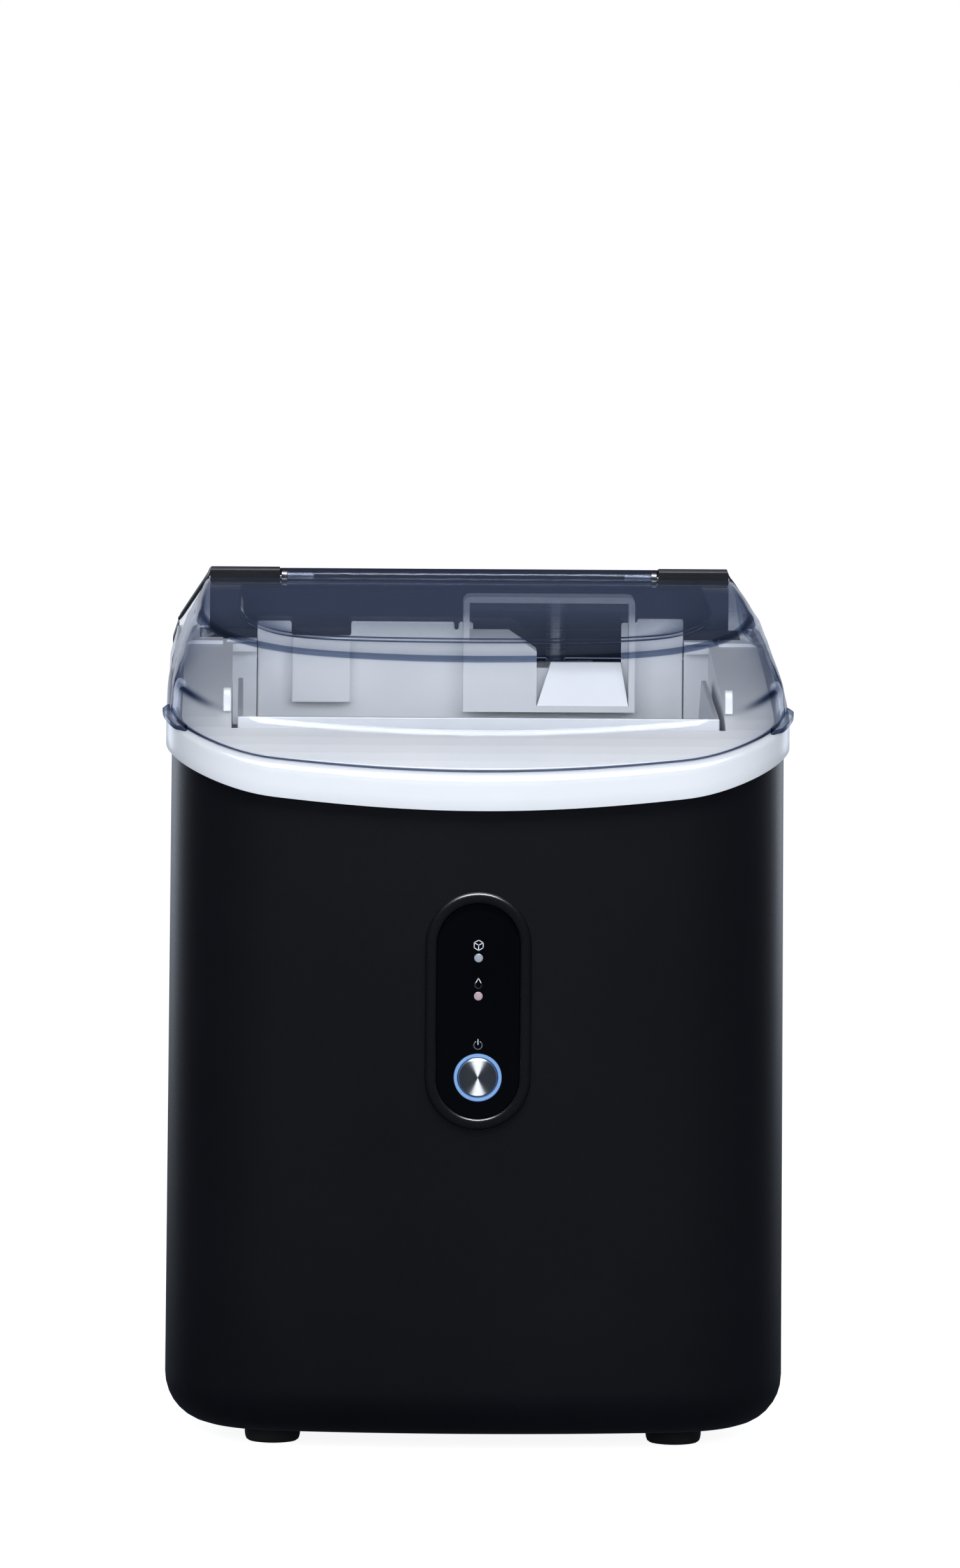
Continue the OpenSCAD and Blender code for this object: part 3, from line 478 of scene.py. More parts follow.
# ---- body shell: drafted sides, rounded foot edge, panel hole, side vents, rear and base openings
def shell():
    cut_top = 12.4
    rows = []
    # (inset from ring half-width, height or None for the ring's underside)
    fil = 18.0
    prof = []
    for k in range(9):
        a = math.pi / 2 * k / 8
        prof.append((17.0 * (1 - math.sin(a)), 7.5 + fil * (1 - math.cos(a))))
    hw_lo, hw_hi = HW - 114.55, HW - 113.3
    n = None
    verts = []
    def row(o, zf):
        nonlocal n
        ol = closed_outline(o, HW)
        n = len(ol)
        for x, d in ol:
            verts.append(P(x, d, zf(d)))
    for extra, z in prof:
        row(hw_lo + extra, lambda d, z=z: z)
    tops = [0.15, 0.35, 0.6, 0.85, 1.0]
    for t in tops:
        o = lerp(hw_lo, hw_hi, t)
        row(o, lambda d, t=t: lerp(25.5, min(rim(d) - cut_top, 270.6), t))
    outer = len(prof) + len(tops)
    # inner skin back down
    for t in reversed(tops):
        o = lerp(hw_lo, hw_hi, t) + 2.4
        row(o, lambda d, t=t: lerp(25.5, min(rim(d) - cut_top, 270.6), t))
    for extra, z in reversed(prof):
        row(hw_lo + 2.4 + extra * 0.92, lambda d, z=z: 9.9 + (z - 7.5) * 0.87)
    total = len(verts) // n
    f = strip_faces(n, total, closed=True)
    # close the floor of both skins
    f.append(tuple(range(n))[::-1])
    f.append(tuple((total - 1) * n + i for i in range(n)))
    o = raw("body_shell", verts, f)
    return o


def pill_pts(w, h, n=20):
    """outline of a pill w wide and h high about 0, 0"""
    r = w / 2
    c = h / 2 - r
    pts = []
    for i in range(n + 1):
        a = math.pi * i / n
        pts.append((r * math.cos(a), c + r * math.sin(a)))
    for i in range(n + 1):
        a = math.pi + math.pi * i / n
        pts.append((r * math.cos(a), -c + r * math.sin(a)))
    return pts


def prism_x(outline, x0, x1):
    n = len(outline)
    vs = [P(x0, d, z) for d, z in outline] + [P(x1, d, z) for d, z in outline]
    return vs, [tuple(range(n)), tuple(range(2 * n - 1, n - 1, -1))] + [(i, (i + 1) % n, (i + 1) % n + n, i + n) for i in range(n)]


def prism_d(outline, d0, d1):
    n = len(outline)
    vs = [P(x, d0, z) for x, z in outline] + [P(x, d1, z) for x, z in outline]
    return vs, [tuple(range(n)), tuple(range(2 * n - 1, n - 1, -1))] + [(i, (i + 1) % n, (i + 1) % n + n, i + n) for i in range(n)]


def join_vf(parts):
    vs, fs = [], []
    for v, f in parts:
        k = len(vs)
        vs += v
        fs += [tuple(i + k for i in q) for q in f]
    return vs, fs


def slot_pts(u0, u1, v0, v1, n=6):
    """rounded slot in a plane, long in v"""
    r = (u1 - u0) / 2
    c = (u0 + u1) / 2
    pts = []
    for i in range(n + 1):
        a = math.pi * i / n
        pts.append((c + r * math.cos(a), v1 - r + r * math.sin(a)))
    for i in range(n + 1):
        a = math.pi + math.pi * i / n
        pts.append((c + r * math.cos(a), v0 + r + r * math.sin(a)))
    return pts


body = shell()
cuts = []
cuts.append(prism_d([(x, 166.5 + z) for x, z in pill_pts(34, 83)], -5, 9))
boolean(body, raw("c1", *join_vf(cuts)))
cuts = []
for i in range(9):
    yc = 38 + 9 * i - D0            # depth of the slot
    cuts.append(prism_x(slot_pts(yc - 1.5, yc + 1.5, 42, 112), -130, 130))
boolean(body, raw("c2", *join_vf(cuts)))
boolean(body, raw("c3", *join_vf([box_vf([(-100, 100, 300, 330, 22, 300)])])))
boolean(body, raw("c4", *join_vf([box_vf([(-62, 62, -92 - D0, 92 - D0, 0, 15)])])))
body.data.materials.clear()
body.data.materials.append(M["shell"])
for p in body.data.polygons:
    p.use_smooth = True
    p.material_index = 0
sharpen(body, 28)
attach(body, "root")
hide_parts("outer_shell")


# ---- white trim ring: swept band with a rounded crest and a shadow step at its foot
def trim_ring():
    prof = [(0.55, -12.35), (0.5, -11.75), (0.05, -11.6), (0.0, -11.4), (0.0, -7.0), (0.0, -2.6)]
    for k in range(7):
        a = math.pi / 2 * k / 6
        prof.append((1.5 * (1 - math.cos(a)), -1.5 + 1.5 * math.sin(a)))
    for k in range(1, 6):
        a = math.pi / 2 * k / 5
        prof.append((1.7 + 1.3 * math.sin(a), -1.3 + 1.3 * math.cos(a)))
    prof += [(3.0, -2.1), (5.7, -2.5), (5.7, -4.1), (3.0, -4.3), (3.0, -12.35)]
    verts, n, m = [], None, len(prof)
    for o, h in prof:
        ol = u_outline(o, HW, 450.0, 48.0, 0.0 + o, 290.0, 24, 20, 48)
        n = len(ol)
        for x, d in ol:
            # towards the rear the band leans in under the lid's cheeks
            k = smooth((d - 110) / 180) * smooth((h + 12.4) / 12.4) * 2.7 if o < 3.5 else 0.0
            if o >= 1.5:
                k *= max(0.0, 1 - (o - 1.5) / 1.5)
            verts.append(P(x - math.copysign(k, x), d, rim(d) + h))
    f = strip_faces(n, m)
    f += [((m - 1) * n + i, (m - 1) * n + i + 1, i + 1, i) for i in range(n - 1)]
    f.append(tuple(j * n for j in range(m)))
    f.append(tuple(j * n + n - 1 for j in reversed(range(m))))
    return make("trim_ring_band", verts, f, M["ring"], slot="trim_white", angle=40)


ring = trim_ring()
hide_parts("trim_ring")


# ---- lid: lofted from its lower edge over the crease to the plate, with a shallow dish
def lid():
    nA, nB, dw = 46, 20, 286.0

    def res(pts):
        """half an outline, from the middle of the front to the rear: even steps to depth 130, then even steps back"""
        k = next(i for i, p in enumerate(pts) if p[1] >= 130 and i > len(pts) // 3)
        a_, b_ = pts[:k + 1], pts[k:]

        def even(q, n):
            cum = [0.0]
            for u, v in zip(q, q[1:]):
                cum.append(cum[-1] + math.dist(u, v))
            out, j = [], 0
            for i in range(n + 1):
                t = cum[-1] * i / n
                while j < len(cum) - 2 and cum[j + 1] < t:
                    j += 1
                f = (t - cum[j]) / max(cum[j + 1] - cum[j], 1e-9)
                out.append((lerp(q[j][0], q[j + 1][0], f), lerp(q[j][1], q[j + 1][1], f)))
            return out

        return even(a_, nA)[:-1] + even(b_, nB)

    def full(h, zf):
        return [(-x, d, zf(d)) for x, d in reversed(h[1:])] + [(x, d, zf(d)) for x, d in h]

    def lvl(o, front, zf):
        q = u_outline(o, HW, 450.0, 48.0, front, dw, 200, 120, 300)
        # the cover draws in toward the hinge, inside the white cheeks
        half = [(x - 8.0 * smooth((d - 185) / 100), d) if d > 185 else (x, d) for x, d in q[(len(q) - 1) // 2:]]
        return full(res(half), zf)

    def from_half(pts, zf):
        return full(res(curve_pts(pts, 700)), zf)

    def inset(row, k):
        """moves an outline in by k in plan"""
        out = []
        for i, (x, d, z) in enumerate(row):
            p, q = row[max(i - 1, 0)], row[min(i + 1, len(row) - 1)]
            tx, td = q[0] - p[0], q[1] - p[1]
            L = math.hypot(tx, td) or 1
            out.append((x - td / L * k * 1.0, d + tx / L * k if 0 < i < len(row) - 1 else d, z))
        return out

    edge = [(0, 52), (18, 52.5), (36, 54.0), (50, 55.9), (60, 57.9), (68, 60.2), (75.5, 63.4), (83.5, 68.6), (91, 76.2), (97, 87.0), (101, 100.5), (103, 114), (103.6, 129), (103.5, 160), (103.2, 200), (102.5, 245), (101.6, dw)]
    dish = [(0, 74), (20, 74.4), (40, 75.4), (55, 77.2), (66, 79.8), (74, 84), (80, 91), (84, 99.5), (86.6, 110), (88, 130), (88, 160), (88, 200), (88, 245), (88, dw)]

    def crease(d):
        return rim(d) + lerp(12.9, 3.4, smooth((d - 35) / 120))

    def dep(d):
        return 0.8 * (1 - smooth((d - 150) / 110))

    def part(p, q, t):
        return [tuple(lerp(u[j], v[j], t) for j in range(3)) for u, v in zip(p, q)]

    def towards(q, p, dist):
        out = []
        for u, v in zip(q, p):
            t = min(0.9, dist / (math.dist(u, v) or 1))
            out.append(tuple(lerp(u[j], v[j], t) for j in range(3)))
        return out

    def fillet(p, q, r_, dist, steps):
        """rounds corner q between rows p and r_, starting dist mm from it"""
        a_, c_ = towards(q, p, dist), towards(q, r_, dist)
        out = []
        for i in range(steps + 1):
            t = i / steps
            out.append([tuple((1 - t) ** 2 * x_[j] + 2 * t * (1 - t) * y_[j] + t * t * z_[j] for j in range(3)) for x_, y_, z_ in zip(a_, q, c_)])
        return out

    foot = lvl(1.4, 1.6, lambda d: rim(d) + 0.4)
    brk = lvl(2.25, 4.75, crease)
    top = from_half(edge, plate_z)
    # the slope is slightly crowned: its middle stands proud of the straight line
    belly = []
    for a_, b_ in zip(brk, top):
        side = 1 if a_[0] > 0 else -1
        k = smooth((abs(b_[0]) - 80) / 20)
        belly.append((lerp(a_[0], b_[0], 0.5) + side * 0.9 * k, lerp(a_[1], b_[1], 0.5), lerp(a_[2], b_[2], 0.5) + 0.8))
    inner = from_half(dish, plate_z)
    # each row holds (middle, side) amounts of painted shade: a darker tint along the lower edge, the crease at the
    # corners, the plate's front edge and the dish outline
    rows, shade_rows = [foot, part(foot, brk, 0.03), part(foot, brk, 0.07), part(foot, brk, 0.35)], [(1.0, 1.0), (0.9, 0.9), (0.0, 0.12), (0.0, 0.08)]
    q_ = fillet(foot, brk, belly, 5.0, 9)
    rows += q_
    shade_rows += [(0.0, c) for c in (0.04, 0.06, 0.14, 0.5, 1.1, 1.1, 0.45, 0.14, 0.08, 0.05)]
    rows += [part(brk, belly, 0.65), belly, part(belly, top, 0.5), part(belly, top, 0.85)]
    shade_rows += [(0.0, 0.05), (0.0, 0.03), (0.0, 0.03), (0.03, 0.05)]
    rows += fillet(belly, top, inner, 2.0, 6)
    shade_rows += [(0.15, 0.15), (0.8, 0.75), (1.25, 1.1), (1.3, 1.2), (1.3, 1.2), (0.9, 0.8), (0.2, 0.2)]
    mid_ = part(top, inner, 0.5)
    rows.append([(x, d, plate_z(d)) for x, d, z in mid_])
    rows.append(inset(inner, -0.8))
    rows.append(inset(inner, -0.35))
    rows.append([(x, d, z - 0.12 * dep(d)) for x, d, z in inner])
    rows.append([(x, d, z - 0.85 * dep(d)) for x, d, z in inset(inner, 0.75)])
    last = [(x, d, z - dep(d)) for x, d, z in inset(inner, 1.2)]
    rows.append(last)
    shade_rows += [(0.0, 0.0), (0.0, 0.0), (1.2, 0.3), (1.6, 0.5), (1.6, 0.5), (1.0, 0.2)]
    n = len(rows[0])
    verts = [P(*p) for r in rows for p in r]
    # painted shade per vertex: the row's amount, blended from middle to side and fading toward the hinge
    painted_edge_shade = []
    for i, (r, (ctr, side_)) in enumerate(zip(rows, shade_rows)):
        for x, d, z in r:
            k = smooth((abs(x) - 94) / 15) if 2 <= i <= 14 else smooth((abs(x) - 62) / 46)
            fade = 1 - 0.75 * smooth((d - 130) / 120)
            painted_edge_shade.append(lerp(ctr, side_, k) * (fade if d > 130 else 1.0))
    faces = strip_faces(n, len(rows))
    base = (len(rows) - 1) * n
    h = (n - 1) // 2
    t0 = 72.4 / last[-1][0]
    fr = [-1.0, -t0, -0.6, -0.4, -0.2, 0.0, 0.2, 0.4, 0.6, t0, 1.0]
    prev = tong = None
    for i in range(h):
        x1, d, z = last[n - 1 - i]
        ids = [base + i]
        for t in fr[1:-1]:
            verts.append(P(x1 * t, d, z))
            ids.append(len(verts) - 1)
        ids.append(base + n - 1 - i)
        if prev:
            faces += [(prev[k], prev[k + 1], ids[k + 1], ids[k]) for k in range(len(ids) - 1)]
        else:
            tong = ids
        prev = ids
    faces += [(prev[k], prev[k + 1], base + h) for k in range(len(prev) - 1)]
    # tongue that carries the barrel
    pr = tong[1:-1]
    for d in (288.5, 291.0, 293.0):
        ids = []
        for k in pr:
            verts.append(Vector((verts[k][0], (D0 + d) * MM, plate_z(d) * MM)))
            ids.append(len(verts) - 1)
        faces += [(pr[k + 1], pr[k], ids[k], ids[k + 1]) for k in range(len(ids) - 1)]
        pr = ids
    painted_edge_shade += [0.0] * (len(verts) - len(painted_edge_shade))
    o = make("lid_cover", verts, faces, M["lid"], body="lid", slot="lid_smoke", painted_edge_shade=painted_edge_shade)
    me = o.data
    up = sum(p.normal.z * p.area for p in me.polygons)
    bm = bmesh.new()
    bm.from_mesh(me)
    if up < 0:
        bmesh.ops.reverse_faces(bm, faces=bm.faces)
    bm.to_mesh(me)
    bm.free()
    s = o.modifiers.new("wall", "SOLIDIFY")
    s.thickness = 1.3 * MM
    s.offset = -1
    s.use_even_offset = False
    s.use_rim = True
    b_ = o.modifiers.new("edge", "BEVEL")
    b_.width = 0.3 * MM
    b_.segments = 2
    b_.limit_method = "ANGLE"
    b_.angle_limit = math.radians(60)
    return o


lid_obj = lid()
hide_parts("lid_shell")


def lid_tab(sx):
    out = [p for p in u_outline(-1.4, HW, 450.0, 48.0, -1.4, 286, 60, 60, 40) if 29 <= p[1] <= 57 and p[0] > 100]
    inn = [p for p in u_outline(1.25, HW, 450.0, 48.0, 1.25, 286, 60, 60, 40)]
    verts, rows = [], []
    for x, d in out:
        a, b = min(inn, key=lambda q: math.dist(q, (x, d)))
        t = smooth(min((d - 29) / 2.6, (57 - d) / 2.6))
        xo, do = lerp(a, x, lerp(0.3, 1, t)), lerp(b, d, lerp(0.3, 1, t))
        z0 = rim(d) + 0.42
        rows.append([(a, b, z0), (xo, do, z0), (xo, do, z0 + 1.5), (lerp(xo, a, 0.16), lerp(do, b, 0.16), z0 + 1.9), (lerp(xo, a, 0.8), lerp(do, b, 0.8), z0 + 2.1), (a, b, z0 + 2.2)])
    m = 6
    # painted shade along the tab's outer edges and at its ends, a darker tint in place of dark refracted edges
    painted_edge_shade = []
    for i, r in enumerate(rows):
        e_ = max(0.0, 1 - min(i, len(rows) - 1 - i) / 1.1)
        for (x, d, z), w_ in zip(r, (0.0, 0.95, 1.0, 0.0, 0.0, 0.7)):
            verts.append(P(sx * x, d, z))
            painted_edge_shade.append(max(w_, e_))
    f = []
    for j in range(len(rows) - 1):
        for k in range(m):
            f.append((j * m + k, j * m + (k + 1) % m, (j + 1) * m + (k + 1) % m, (j + 1) * m + k))
    f.append(tuple(range(m)))
    f.append(tuple((len(rows) - 1) * m + k for k in reversed(range(m))))
    return make("lid_tab_" + ("right" if sx > 0 else "left"), verts, f, M["lid"], body="lid", slot="lid_smoke", angle=40, painted_edge_shade=painted_edge_shade)


lid_tab(1)
lid_tab(-1)


def cover_lip(sx):
    """narrow black lip along the outer slope of the rear cover, just outside the white cheek"""
    pts = [(112.0, 284.4), (106.9, 292.2), (102.9, 298.6), (101.4, 301.2)]
    rows = []
    for i, (x, z) in enumerate(pts):
        p, q = pts[max(i - 1, 0)], pts[min(i + 1, 3)]
        L = math.dist(p, q)
        nx, nz = (q[1] - p[1]) / L, -(q[0] - p[0]) / L
        w = (0.8, 0.7, 0.5, 0.2)[i]
        rows.append([(x - nx * 0.9, z - nz * 0.9), (x + nx * w, z + nz * w)])
    verts, f = [], []
    for (a, b) in rows:
        for (x, z), d in ((a, 290.6), (b, 290.6), (b, 297.0), (a, 297.0)):
            verts.append(P(sx * x, d, z))
    for j in range(3):
        for k in range(4):
            f.append((j * 4 + k, j * 4 + (k + 1) % 4, (j + 1) * 4 + (k + 1) % 4, (j + 1) * 4 + k))
    f += [(0, 1, 2, 3), (15, 14, 13, 12)]
    if sx < 0:
        f = [tuple(reversed(q)) for q in f]
    o = make("cover_lip_" + ("right" if sx > 0 else "left"), verts, f, M["black"], slot="cover_black")
    bm = bmesh.new()
    bm.from_mesh(o.data)
    bmesh.ops.recalc_face_normals(bm, faces=bm.faces)
    bm.to_mesh(o.data)
    bm.free()
    sharpen(o, 40)
    bevel(o, 0.2, 2, 40)
    return o


cover_lip(1)
cover_lip(-1)


# ---- control panel: rounded raised rim, gloss face, lenses, pictograms
PZ = 166.5


def pill_rows(name, w, h, prof, mat, slot, cap=False, body_name="root", angle=50, zc=PZ, n=28):
    """sweeps (inset, depth) pairs round a pill"""
    verts, m = [], None
    for o, d in prof:
        pts = pill_pts(w - 2 * o, h - 2 * o, n)
        m = len(pts)
        for x, z in pts:
            verts.append(P(x, d, zc + z))
    f = strip_faces(m, len(prof), closed=True)
    if cap:
        f.append(tuple((len(prof) - 1) * m + i for i in range(m)))
        f.append(tuple(range(m))[::-1])
    else:
        f += [((len(prof) - 1) * m + i, (len(prof) - 1) * m + (i + 1) % m, (i + 1) % m, i) for i in range(m)]
    return make(name, verts, f, mat, slot=slot, body=body_name, angle=angle)


def rim_profile():
    p = [(2.6, 3.2), (0.35, 3.2), (0.0, 2.4), (0.0, 1.9)]
    for k in range(1, 8):
        a = math.pi / 2 * k / 7
        p.append((1.6 * (1 - math.cos(a)), 1.9 - 1.75 * math.sin(a)))
    p.append((2.5, 0.12))
    for k in range(0, 7):
        a = math.pi / 2 * k / 6
        p.append((3.0 + 1.2 * math.sin(a), 1.35 - 1.2 * math.cos(a)))
    p += [(4.2, 3.2)]
    return p


bz = pill_rows("panel_rim", 39.0, 88.0, rim_profile(), M["bezel"], "bezel_black", angle=60)
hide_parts("panel_bezel")


def disc_pts(r, n=48):
    return [(r * math.cos(2 * math.pi * i / n), r * math.sin(2 * math.pi * i / n)) for i in range(n)]


def lathe_d(name, prof, cx, cz, mat, slot, body_name="root", n=64, angle=35, cap0=True, cap1=True, ring=False):
    """turns (radius, depth) pairs about an axis that runs back from the front"""
    verts = []
    for r, d in prof:
        for x, z in disc_pts(max(r, 1e-3), n):
            verts.append(P(cx + x, d, cz + z))
    f = strip_faces(n, len(prof), closed=True)
    if ring:
        f += [((len(prof) - 1) * n + i, (len(prof) - 1) * n + (i + 1) % n, (i + 1) % n, i) for i in range(n)]
    else:
        if cap0:
            f.append(tuple(range(n))[::-1])
        if cap1:
            f.append(tuple((len(prof) - 1) * n + i for i in range(n)))
    return make(name, verts, f, mat, slot=slot, body=body_name, angle=angle)


face = pill_rows("panel_face_plate", 30.6, 79.6, [(0.4, 2.9), (0.0, 2.8), (0.0, 1.5), (0.25, 1.15), (0.9, 1.02), (3.0, 0.98)], M["face"], "face_black", cap=True, angle=40)
cut = []
for z, r in ((186.2, 1.62), (172.1, 1.62), (142.0, 8.9)):
    cut.append(prism_d([(x, z + q) for x, q in disc_pts(r, 48)], -2, 6))
boolean(face, raw("c5", *join_vf(cut)))
face.data.materials.clear()
face.data.materials.append(M["face"])
for p in face.data.polygons:
    p.use_smooth = True
    p.material_index = 0
sharpen(face, 40)
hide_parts("panel_face")

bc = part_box("power_button")
BX, BZ = (bc[0][0] + bc[1][0]) / 2 / MM, (bc[0][2] + bc[1][2]) / 2 / MM
BF = bc[0][1] / MM - D0              # depth of the button's face

# turned button: fine concentric grooves round a shallow dish
prof = [(7.2, 3.2), (7.2, BF + 0.75), (7.05, BF + 0.3), (6.75, BF + 0.06)]
r = 6.6
while r > 0.5:
    prof += [(r, BF + 0.02), (r - 0.11, BF + 0.05)]
    r -= 0.22
prof += [(0.3, BF + 0.03)]
btn = lathe_d("button_disc", prof, BX, BZ, M["spun"], "button_steel", body_name="button", n=96, angle=60)
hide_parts("power_button")

guide = lathe_d("button_ring_light", [(8.8, 2.8), (8.8, 1.15), (8.65, 0.85), (8.3, 0.72), (7.9, 0.76), (7.62, 1.0), (7.55, 1.3), (7.55, 2.8)], BX, BZ, M["light"], "light_blue", n=96, angle=40, ring=True)
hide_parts("button_light_ring")


def lens(name, z, mat, node):
    prof = [(1.6, 2.6), (1.6, 1.05)]
    for k in range(1, 7):
        a = math.pi / 2 * k / 6
        prof.append((1.6 * math.cos(a) + 0.01, 1.05 - 0.42 * math.sin(a)))
    o = lathe_d(name, prof, BX, z, mat, "led_clear", n=40, angle=50)
    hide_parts(node)
    return o


lens("led_upper", 186.2, M["led_a"], "led_ice_full")
lens("led_lower", 172.1, M["led_b"], "led_add_water")


# plain pictograms, printed as very thin pads on the face: an ice cube, a drop, the power sign
def pad(name, polys, z, d=0.98):
    vs, fs = [], []
    for poly in polys:
        k, n = len(vs), len(poly)
        vs += [P(BX + x, d, z + y) for x, y in poly] + [P(BX + x, d - 0.05, z + y) for x, y in poly]
        fs += [tuple(k + n + i for i in range(n))] + [(k + i, k + (i + 1) % n, k + n + (i + 1) % n, k + n + i) for i in range(n)]
    return make(name, vs, fs, M["icon"], smooth=False, slot="led_clear")


def stroke(a, b, w=0.16):
    dx, dy = b[0] - a[0], b[1] - a[1]
    L = math.hypot(dx, dy)
    nx, ny = -dy / L * w / 2, dx / L * w / 2
    ex, ey = dx / L * w / 2, dy / L * w / 2
    return [(a[0] - ex - nx, a[1] - ey - ny), (b[0] + ex - nx, b[1] + ey - ny), (b[0] + ex + nx, b[1] + ey + ny), (a[0] - ex + nx, a[1] - ey + ny)]


hexa = [(1.9 * math.cos(math.radians(90 + 60 * i)), 1.9 * math.sin(math.radians(90 + 60 * i))) for i in range(6)]
pad("icon_cube", [stroke(hexa[i], hexa[(i + 1) % 6], 0.3) for i in range(6)] + [stroke((0, 0), hexa[i], 0.3) for i in (1, 3, 5)], 190.9)
drop = []
for i in range(25):
    a = math.radians(-210 + 240 * i / 24)
    drop.append((1.25 * math.cos(a), -0.5 + 1.25 * math.sin(a)))
drop.append((0.0, 2.05))
pad("icon_drop", [stroke(drop[i], drop[(i + 1) % len(drop)], 0.3) for i in range(len(drop))], 176.7)
arc = [(1.5 * math.cos(math.radians(125 + 290 * i / 24)), 1.5 * math.sin(math.radians(125 + 290 * i / 24))) for i in range(25)]
pad("icon_power", [stroke(arc[i], arc[i + 1], 0.3) for i in range(24)] + [stroke((0, 0.3), (0, 2.1), 0.3)], 154.0)


# ---- feet: full rubber pucks with a rounded sole and a screw pocket
def feet():
    parts = []
    for fx in (-74.5, 74.5):
        for fy in (-108, 110):
            prof = [(4.0, 3.6), (4.0, 0.35), (4.3, 0.0), (7.9, 0.0), (8.9, 0.18), (9.7, 0.75), (10.1, 1.7), (10.3, 3.0), (10.45, 7.5), (2.0, 7.5), (2.0, 3.6)]
            n = 64
            vs = [P(fx + r_ * math.cos(2 * math.pi * i / n), fy - D0 + r_ * math.sin(2 * math.pi * i / n), z) for r_, z in prof for i in range(n)]
            f = strip_faces(n, len(prof), closed=True)
            f += [((len(prof) - 1) * n + i, (len(prof) - 1) * n + (i + 1) % n, (i + 1) % n, i) for i in range(n)]
            parts.append((vs, f))
    o = make("rubber_feet", *join_vf(parts), M["rubber"], slot="rubber_black", angle=50)
    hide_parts("feet")


feet()


# ------------------------------------------------------------------ finishes of the CAD nodes
def give(names, mat, width=0.0, segs=2, deg=30, smooth_deg=32):
    for nm in names:
        o = NODES[nm]
        me = o.data
        if not me.materials:
            me.materials.append(M[mat])
        for i in range(len(me.materials)):
            me.materials[i] = M[mat]
        if width:
            w = o.modifiers.new("weld", "WELD")
            w.merge_threshold = 0.000002
            bevel(o, width, segs, deg)


give(["top_frame"], "white", 0.8, 3)
give(["ice_chamber"], "white", 0.8, 3)
give(["ice_chute", "water_return_cover", "sensor_posts"], "white", 0.6, 3)
give(["ice_basket", "water_tank"], "basket", 0.5, 2)
give(["rear_top_cover"], "black", 0.6, 3)
give(["hinge_cap_left", "hinge_cap_right"], "black", 0.5, 3)
give(["rear_panel", "base_pan", "drain_port", "drain_cap", "power_inlet", "gearbox_housing", "gearbox_cover"], "black", 0.4, 2)
give(["fan_shroud", "fan"], "black")
give(["lid_hinge_barrel"], "barrel")
give(["lid_bushes"], "bush", 0.2)
give(["compressor_grommets"], "rubber", 0.5)
give(["barrel_insulation"], "sleeve", 0.5)
give(["foot_screws", "case_screws"], "steel", 0.15, 2)
give(["hinge_pins"], "bush", 0.15, 2)
give(["button_spring", "evaporator_barrel", "auger_shaft", "auger_flight", "gear_motor", "motor_pinion", "extruder_head"], "steel")
give(["condenser"], "alu")
give(["evaporator_coil", "refrigerant_pipes", "suction_pipe", "filter_drier"], "copper")
give(["auger_bush_lower", "auger_bush_upper"], "bronze")
give(["compressor", "fan_motor", "water_pump"], "enamel")
give(["insulation"], "foam", 0.6)
give(["control_board", "power_board"], "board")
give(["auger_gear", "float_stem", "water_float"], "nylon")
give(["water_hose"], "hose")


# ------------------------------------------------------------------ floor, light, camera
def stage_floor():
    me = bpy.data.meshes.new("floor")
    s = 9.0
    me.from_pydata([(-s, -s, 0), (s, -s, 0), (s, s, 0), (-s, s, 0)], [], [(0, 1, 2, 3)])
    o = bpy.data.objects.new("floor", me)
    bpy.context.scene.collection.objects.link(o)
    m, nt, p, out = new_mat("pale_floor")
    t = noise(nt, 3.0, 2.0)
    r = ramp(nt, t.outputs["Fac"], [(0.3, (0.50, 0.50, 0.50)), (0.7, (0.52, 0.52, 0.52))])
    nt.links.new(r.outputs["Color"], p.inputs["Base Color"])
    p.inputs["Roughness"].default_value = 0.7
    p.inputs["Specular IOR Level"].default_value = 0.1
    em = nt.nodes.new("ShaderNodeEmission")
    em.inputs["Strength"].default_value = 0.90
    ad = nt.nodes.new("ShaderNodeAddShader")
    nt.links.new(p.outputs[0], ad.inputs[0])
    nt.links.new(em.outputs[0], ad.inputs[1])
    lp = nt.nodes.new("ShaderNodeLightPath")
    mx = nt.nodes.new("ShaderNodeMixShader")
    nt.links.new(lp.outputs["Is Camera Ray"], mx.inputs[0])
    dk = nt.nodes.new("ShaderNodeEmission")
    tc = nt.nodes.new("ShaderNodeTexCoord")
    sx = nt.nodes.new("ShaderNodeSeparateXYZ")
    nt.links.new(tc.outputs["Object"], sx.inputs[0])
    far = ramp(nt, maprange(nt, sx.outputs["Y"], 0.0, 1.0, 0.7, 2.6), [(0.0, (0.035, 0.042, 0.056)), (1.0, (0.80, 0.84, 0.92))])
    nt.links.new(far.outputs["Color"], dk.inputs["Color"])
    dk.inputs["Strength"].default_value = 1.0
    m2 = nt.nodes.new("ShaderNodeMixShader")
    nt.links.new(lp.outputs["Is Glossy Ray"], m2.inputs[0])
    nt.links.new(p.outputs[0], m2.inputs[1])
    nt.links.new(dk.outputs[0], m2.inputs[2])
    m3 = nt.nodes.new("ShaderNodeMixShader")
    nt.links.new(lp.outputs["Is Transmission Ray"], m3.inputs[0])
    nt.links.new(m2.outputs[0], m3.inputs[1])
    nt.links.new(ad.outputs[0], m3.inputs[2])
    nt.links.new(m3.outputs[0], mx.inputs[1])
    nt.links.new(ad.outputs[0], mx.inputs[2])
    nt.links.new(mx.outputs[0], out.inputs[0])
    me.materials.append(m)
    return o


stage_floor()


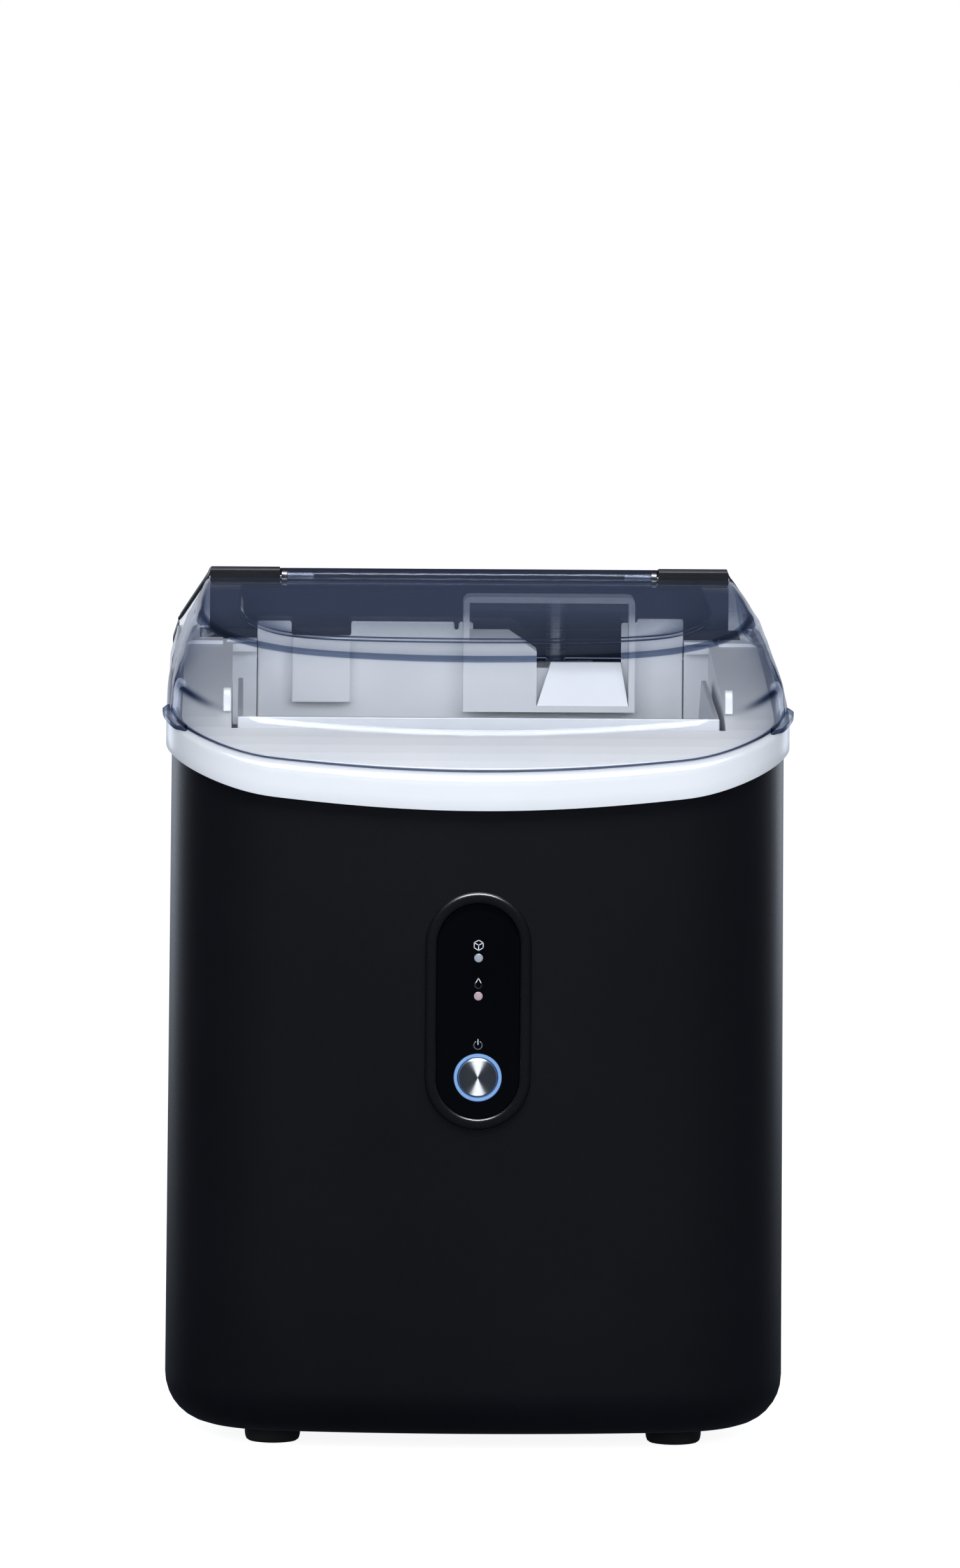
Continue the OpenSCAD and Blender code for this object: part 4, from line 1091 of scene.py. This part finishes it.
def area(name, loc, target, size, power, color=(1, 1, 1), size_y=None, spread=180):
    l = bpy.data.lights.new(name, "AREA")
    l.shape = "RECTANGLE"
    l.size = size
    l.size_y = size_y or size
    l.energy = power
    l.color = color
    l.spread = math.radians(spread)
    o = bpy.data.objects.new(name, l)
    bpy.context.scene.collection.objects.link(o)
    o.location = loc
    o.rotation_euler = (Vector(target) - Vector(loc)).to_track_quat("-Z", "Y").to_euler()
    return o


mid = (0, 0, 0.16)
# tall soft strips behind each side graze the rounded corners of the body
for a_ in (area("edge_left", (-1.0, 1.35, 0.45), mid, 0.5, 7.5, (0.74, 0.84, 1.0), 1.8),
           area("edge_right", (1.0, 1.35, 0.45), mid, 0.5, 6.0, (0.74, 0.84, 1.0), 1.8)):
    a_.visible_diffuse = False
# side fill, dim enough to leave the front black
for a_ in (area("side_left", (-1.5, -0.5, 0.5), mid, 0.5, 1.8, (0.80, 0.88, 1.0), 1.4),
           area("side_right", (1.5, -0.5, 0.5), mid, 0.5, 1.8, (0.80, 0.88, 1.0), 1.4)):
    a_.visible_glossy = False
# overhead and frontal light for the matt and white parts
for a_ in (area("top", (0, 0.05, 1.7), (0, 0, 0.2), 1.5, 2.5, (1.0, 1.0, 1.0), 1.3),
           area("front_high", (0, -2.15, 0.72), mid, 2.2, 47, (0.97, 0.985, 1.0), 0.9)):
    a_.visible_glossy = False
# sheen on the turned button and the top of the front
a_ = area("front_sheen", (0, -0.75, 1.85), mid, 1.5, 115, (0.90, 0.94, 1.0), 0.6)
a_.visible_diffuse = False
a_.visible_transmission = False

# the studio: white where the lens sees it or looks through the lid, soft fill for
# matt surfaces, and dark for reflections, as with black cards round a set
w = bpy.data.worlds.new("studio")
bpy.context.scene.world = w
w.use_nodes = True
nt = w.node_tree
for n_ in list(nt.nodes):
    nt.nodes.remove(n_)
wo = nt.nodes.new("ShaderNodeOutputWorld")
lp = nt.nodes.new("ShaderNodeLightPath")


def bg(col, s_):
    b_ = nt.nodes.new("ShaderNodeBackground")
    b_.inputs["Color"].default_value = (*col, 1)
    b_.inputs["Strength"].default_value = s_
    return b_.outputs[0]


def mix(fac, x_, y_):
    m_ = nt.nodes.new("ShaderNodeMixShader")
    nt.links.new(fac, m_.inputs[0])
    nt.links.new(x_, m_.inputs[1])
    nt.links.new(y_, m_.inputs[2])
    return m_.outputs[0]


tc = nt.nodes.new("ShaderNodeTexCoord")
sx = nt.nodes.new("ShaderNodeSeparateXYZ")
nt.links.new(tc.outputs["Generated"], sx.inputs[0])
back = maprange(nt, sx.outputs["Y"], 0.0, 1.0, -0.35, 0.35)
high = maprange(nt, sx.outputs["Z"], 0.0, 1.0, 0.025, 0.07)
low = maprange(nt, sx.outputs["Z"], 1.0, 0.0, 0.02, 0.065)
behind = maprange(nt, sx.outputs["Y"], 0.0, 1.0, 0.45, 0.85)
hor = nt.nodes.new("ShaderNodeMath")
hor.operation = "MULTIPLY"
nt.links.new(low, hor.inputs[0])
nt.links.new(behind, hor.inputs[1])
gloss = mix(back, bg((0.50, 0.60, 0.85), 0.035), bg((0.42, 0.56, 1.0), 0.11))
through = mix(high, bg((0.95, 0.97, 1.0), 1.0), gloss)
gloss = mix(hor.outputs[0], gloss, bg((0.88, 0.92, 1.0), 0.85))
over = maprange(nt, sx.outputs["Z"], 0.0, 1.0, 0.05, 0.9)
env = mix(lp.outputs["Is Glossy Ray"], mix(over, bg((0.91, 0.95, 1.0), 0.62), bg((0.88, 0.93, 1.0), 0.20)), gloss)
env = mix(lp.outputs["Is Transmission Ray"], env, through)
env = mix(lp.outputs["Is Camera Ray"], env, bg((1, 1, 1), 1.0))
nt.links.new(env, wo.inputs[0])

sc = bpy.context.scene
sc.view_settings.view_transform = "Standard"
sc.view_settings.look = "None"
sc.view_settings.exposure = 0.0

yaw, pitch, roll = 0.01609, 0.09938, 0.00762
v = Vector((math.sin(yaw) * math.cos(pitch), math.cos(yaw) * math.cos(pitch), -math.sin(pitch)))
rt = Vector((math.cos(yaw), -math.sin(yaw), 0))
up = rt.cross(v)
r2 = rt * math.cos(roll) + up * math.sin(roll)
u2 = -rt * math.sin(roll) + up * math.cos(roll)
cd = bpy.data.cameras.new("camera")
cam = bpy.data.objects.new("camera", cd)
sc.collection.objects.link(cam)
cam.matrix_world = Matrix(((r2.x, u2.x, -v.x, -0.08285), (r2.y, u2.y, -v.y, -5.3089), (r2.z, u2.z, -v.z, 0.76402), (0, 0, 0, 1)))
cd.sensor_fit = "VERTICAL"
cd.sensor_height = 36
cd.sensor_width = 36
cd.lens = 324.35
cd.clip_start = 0.1
cd.clip_end = 100
sc.camera = cam
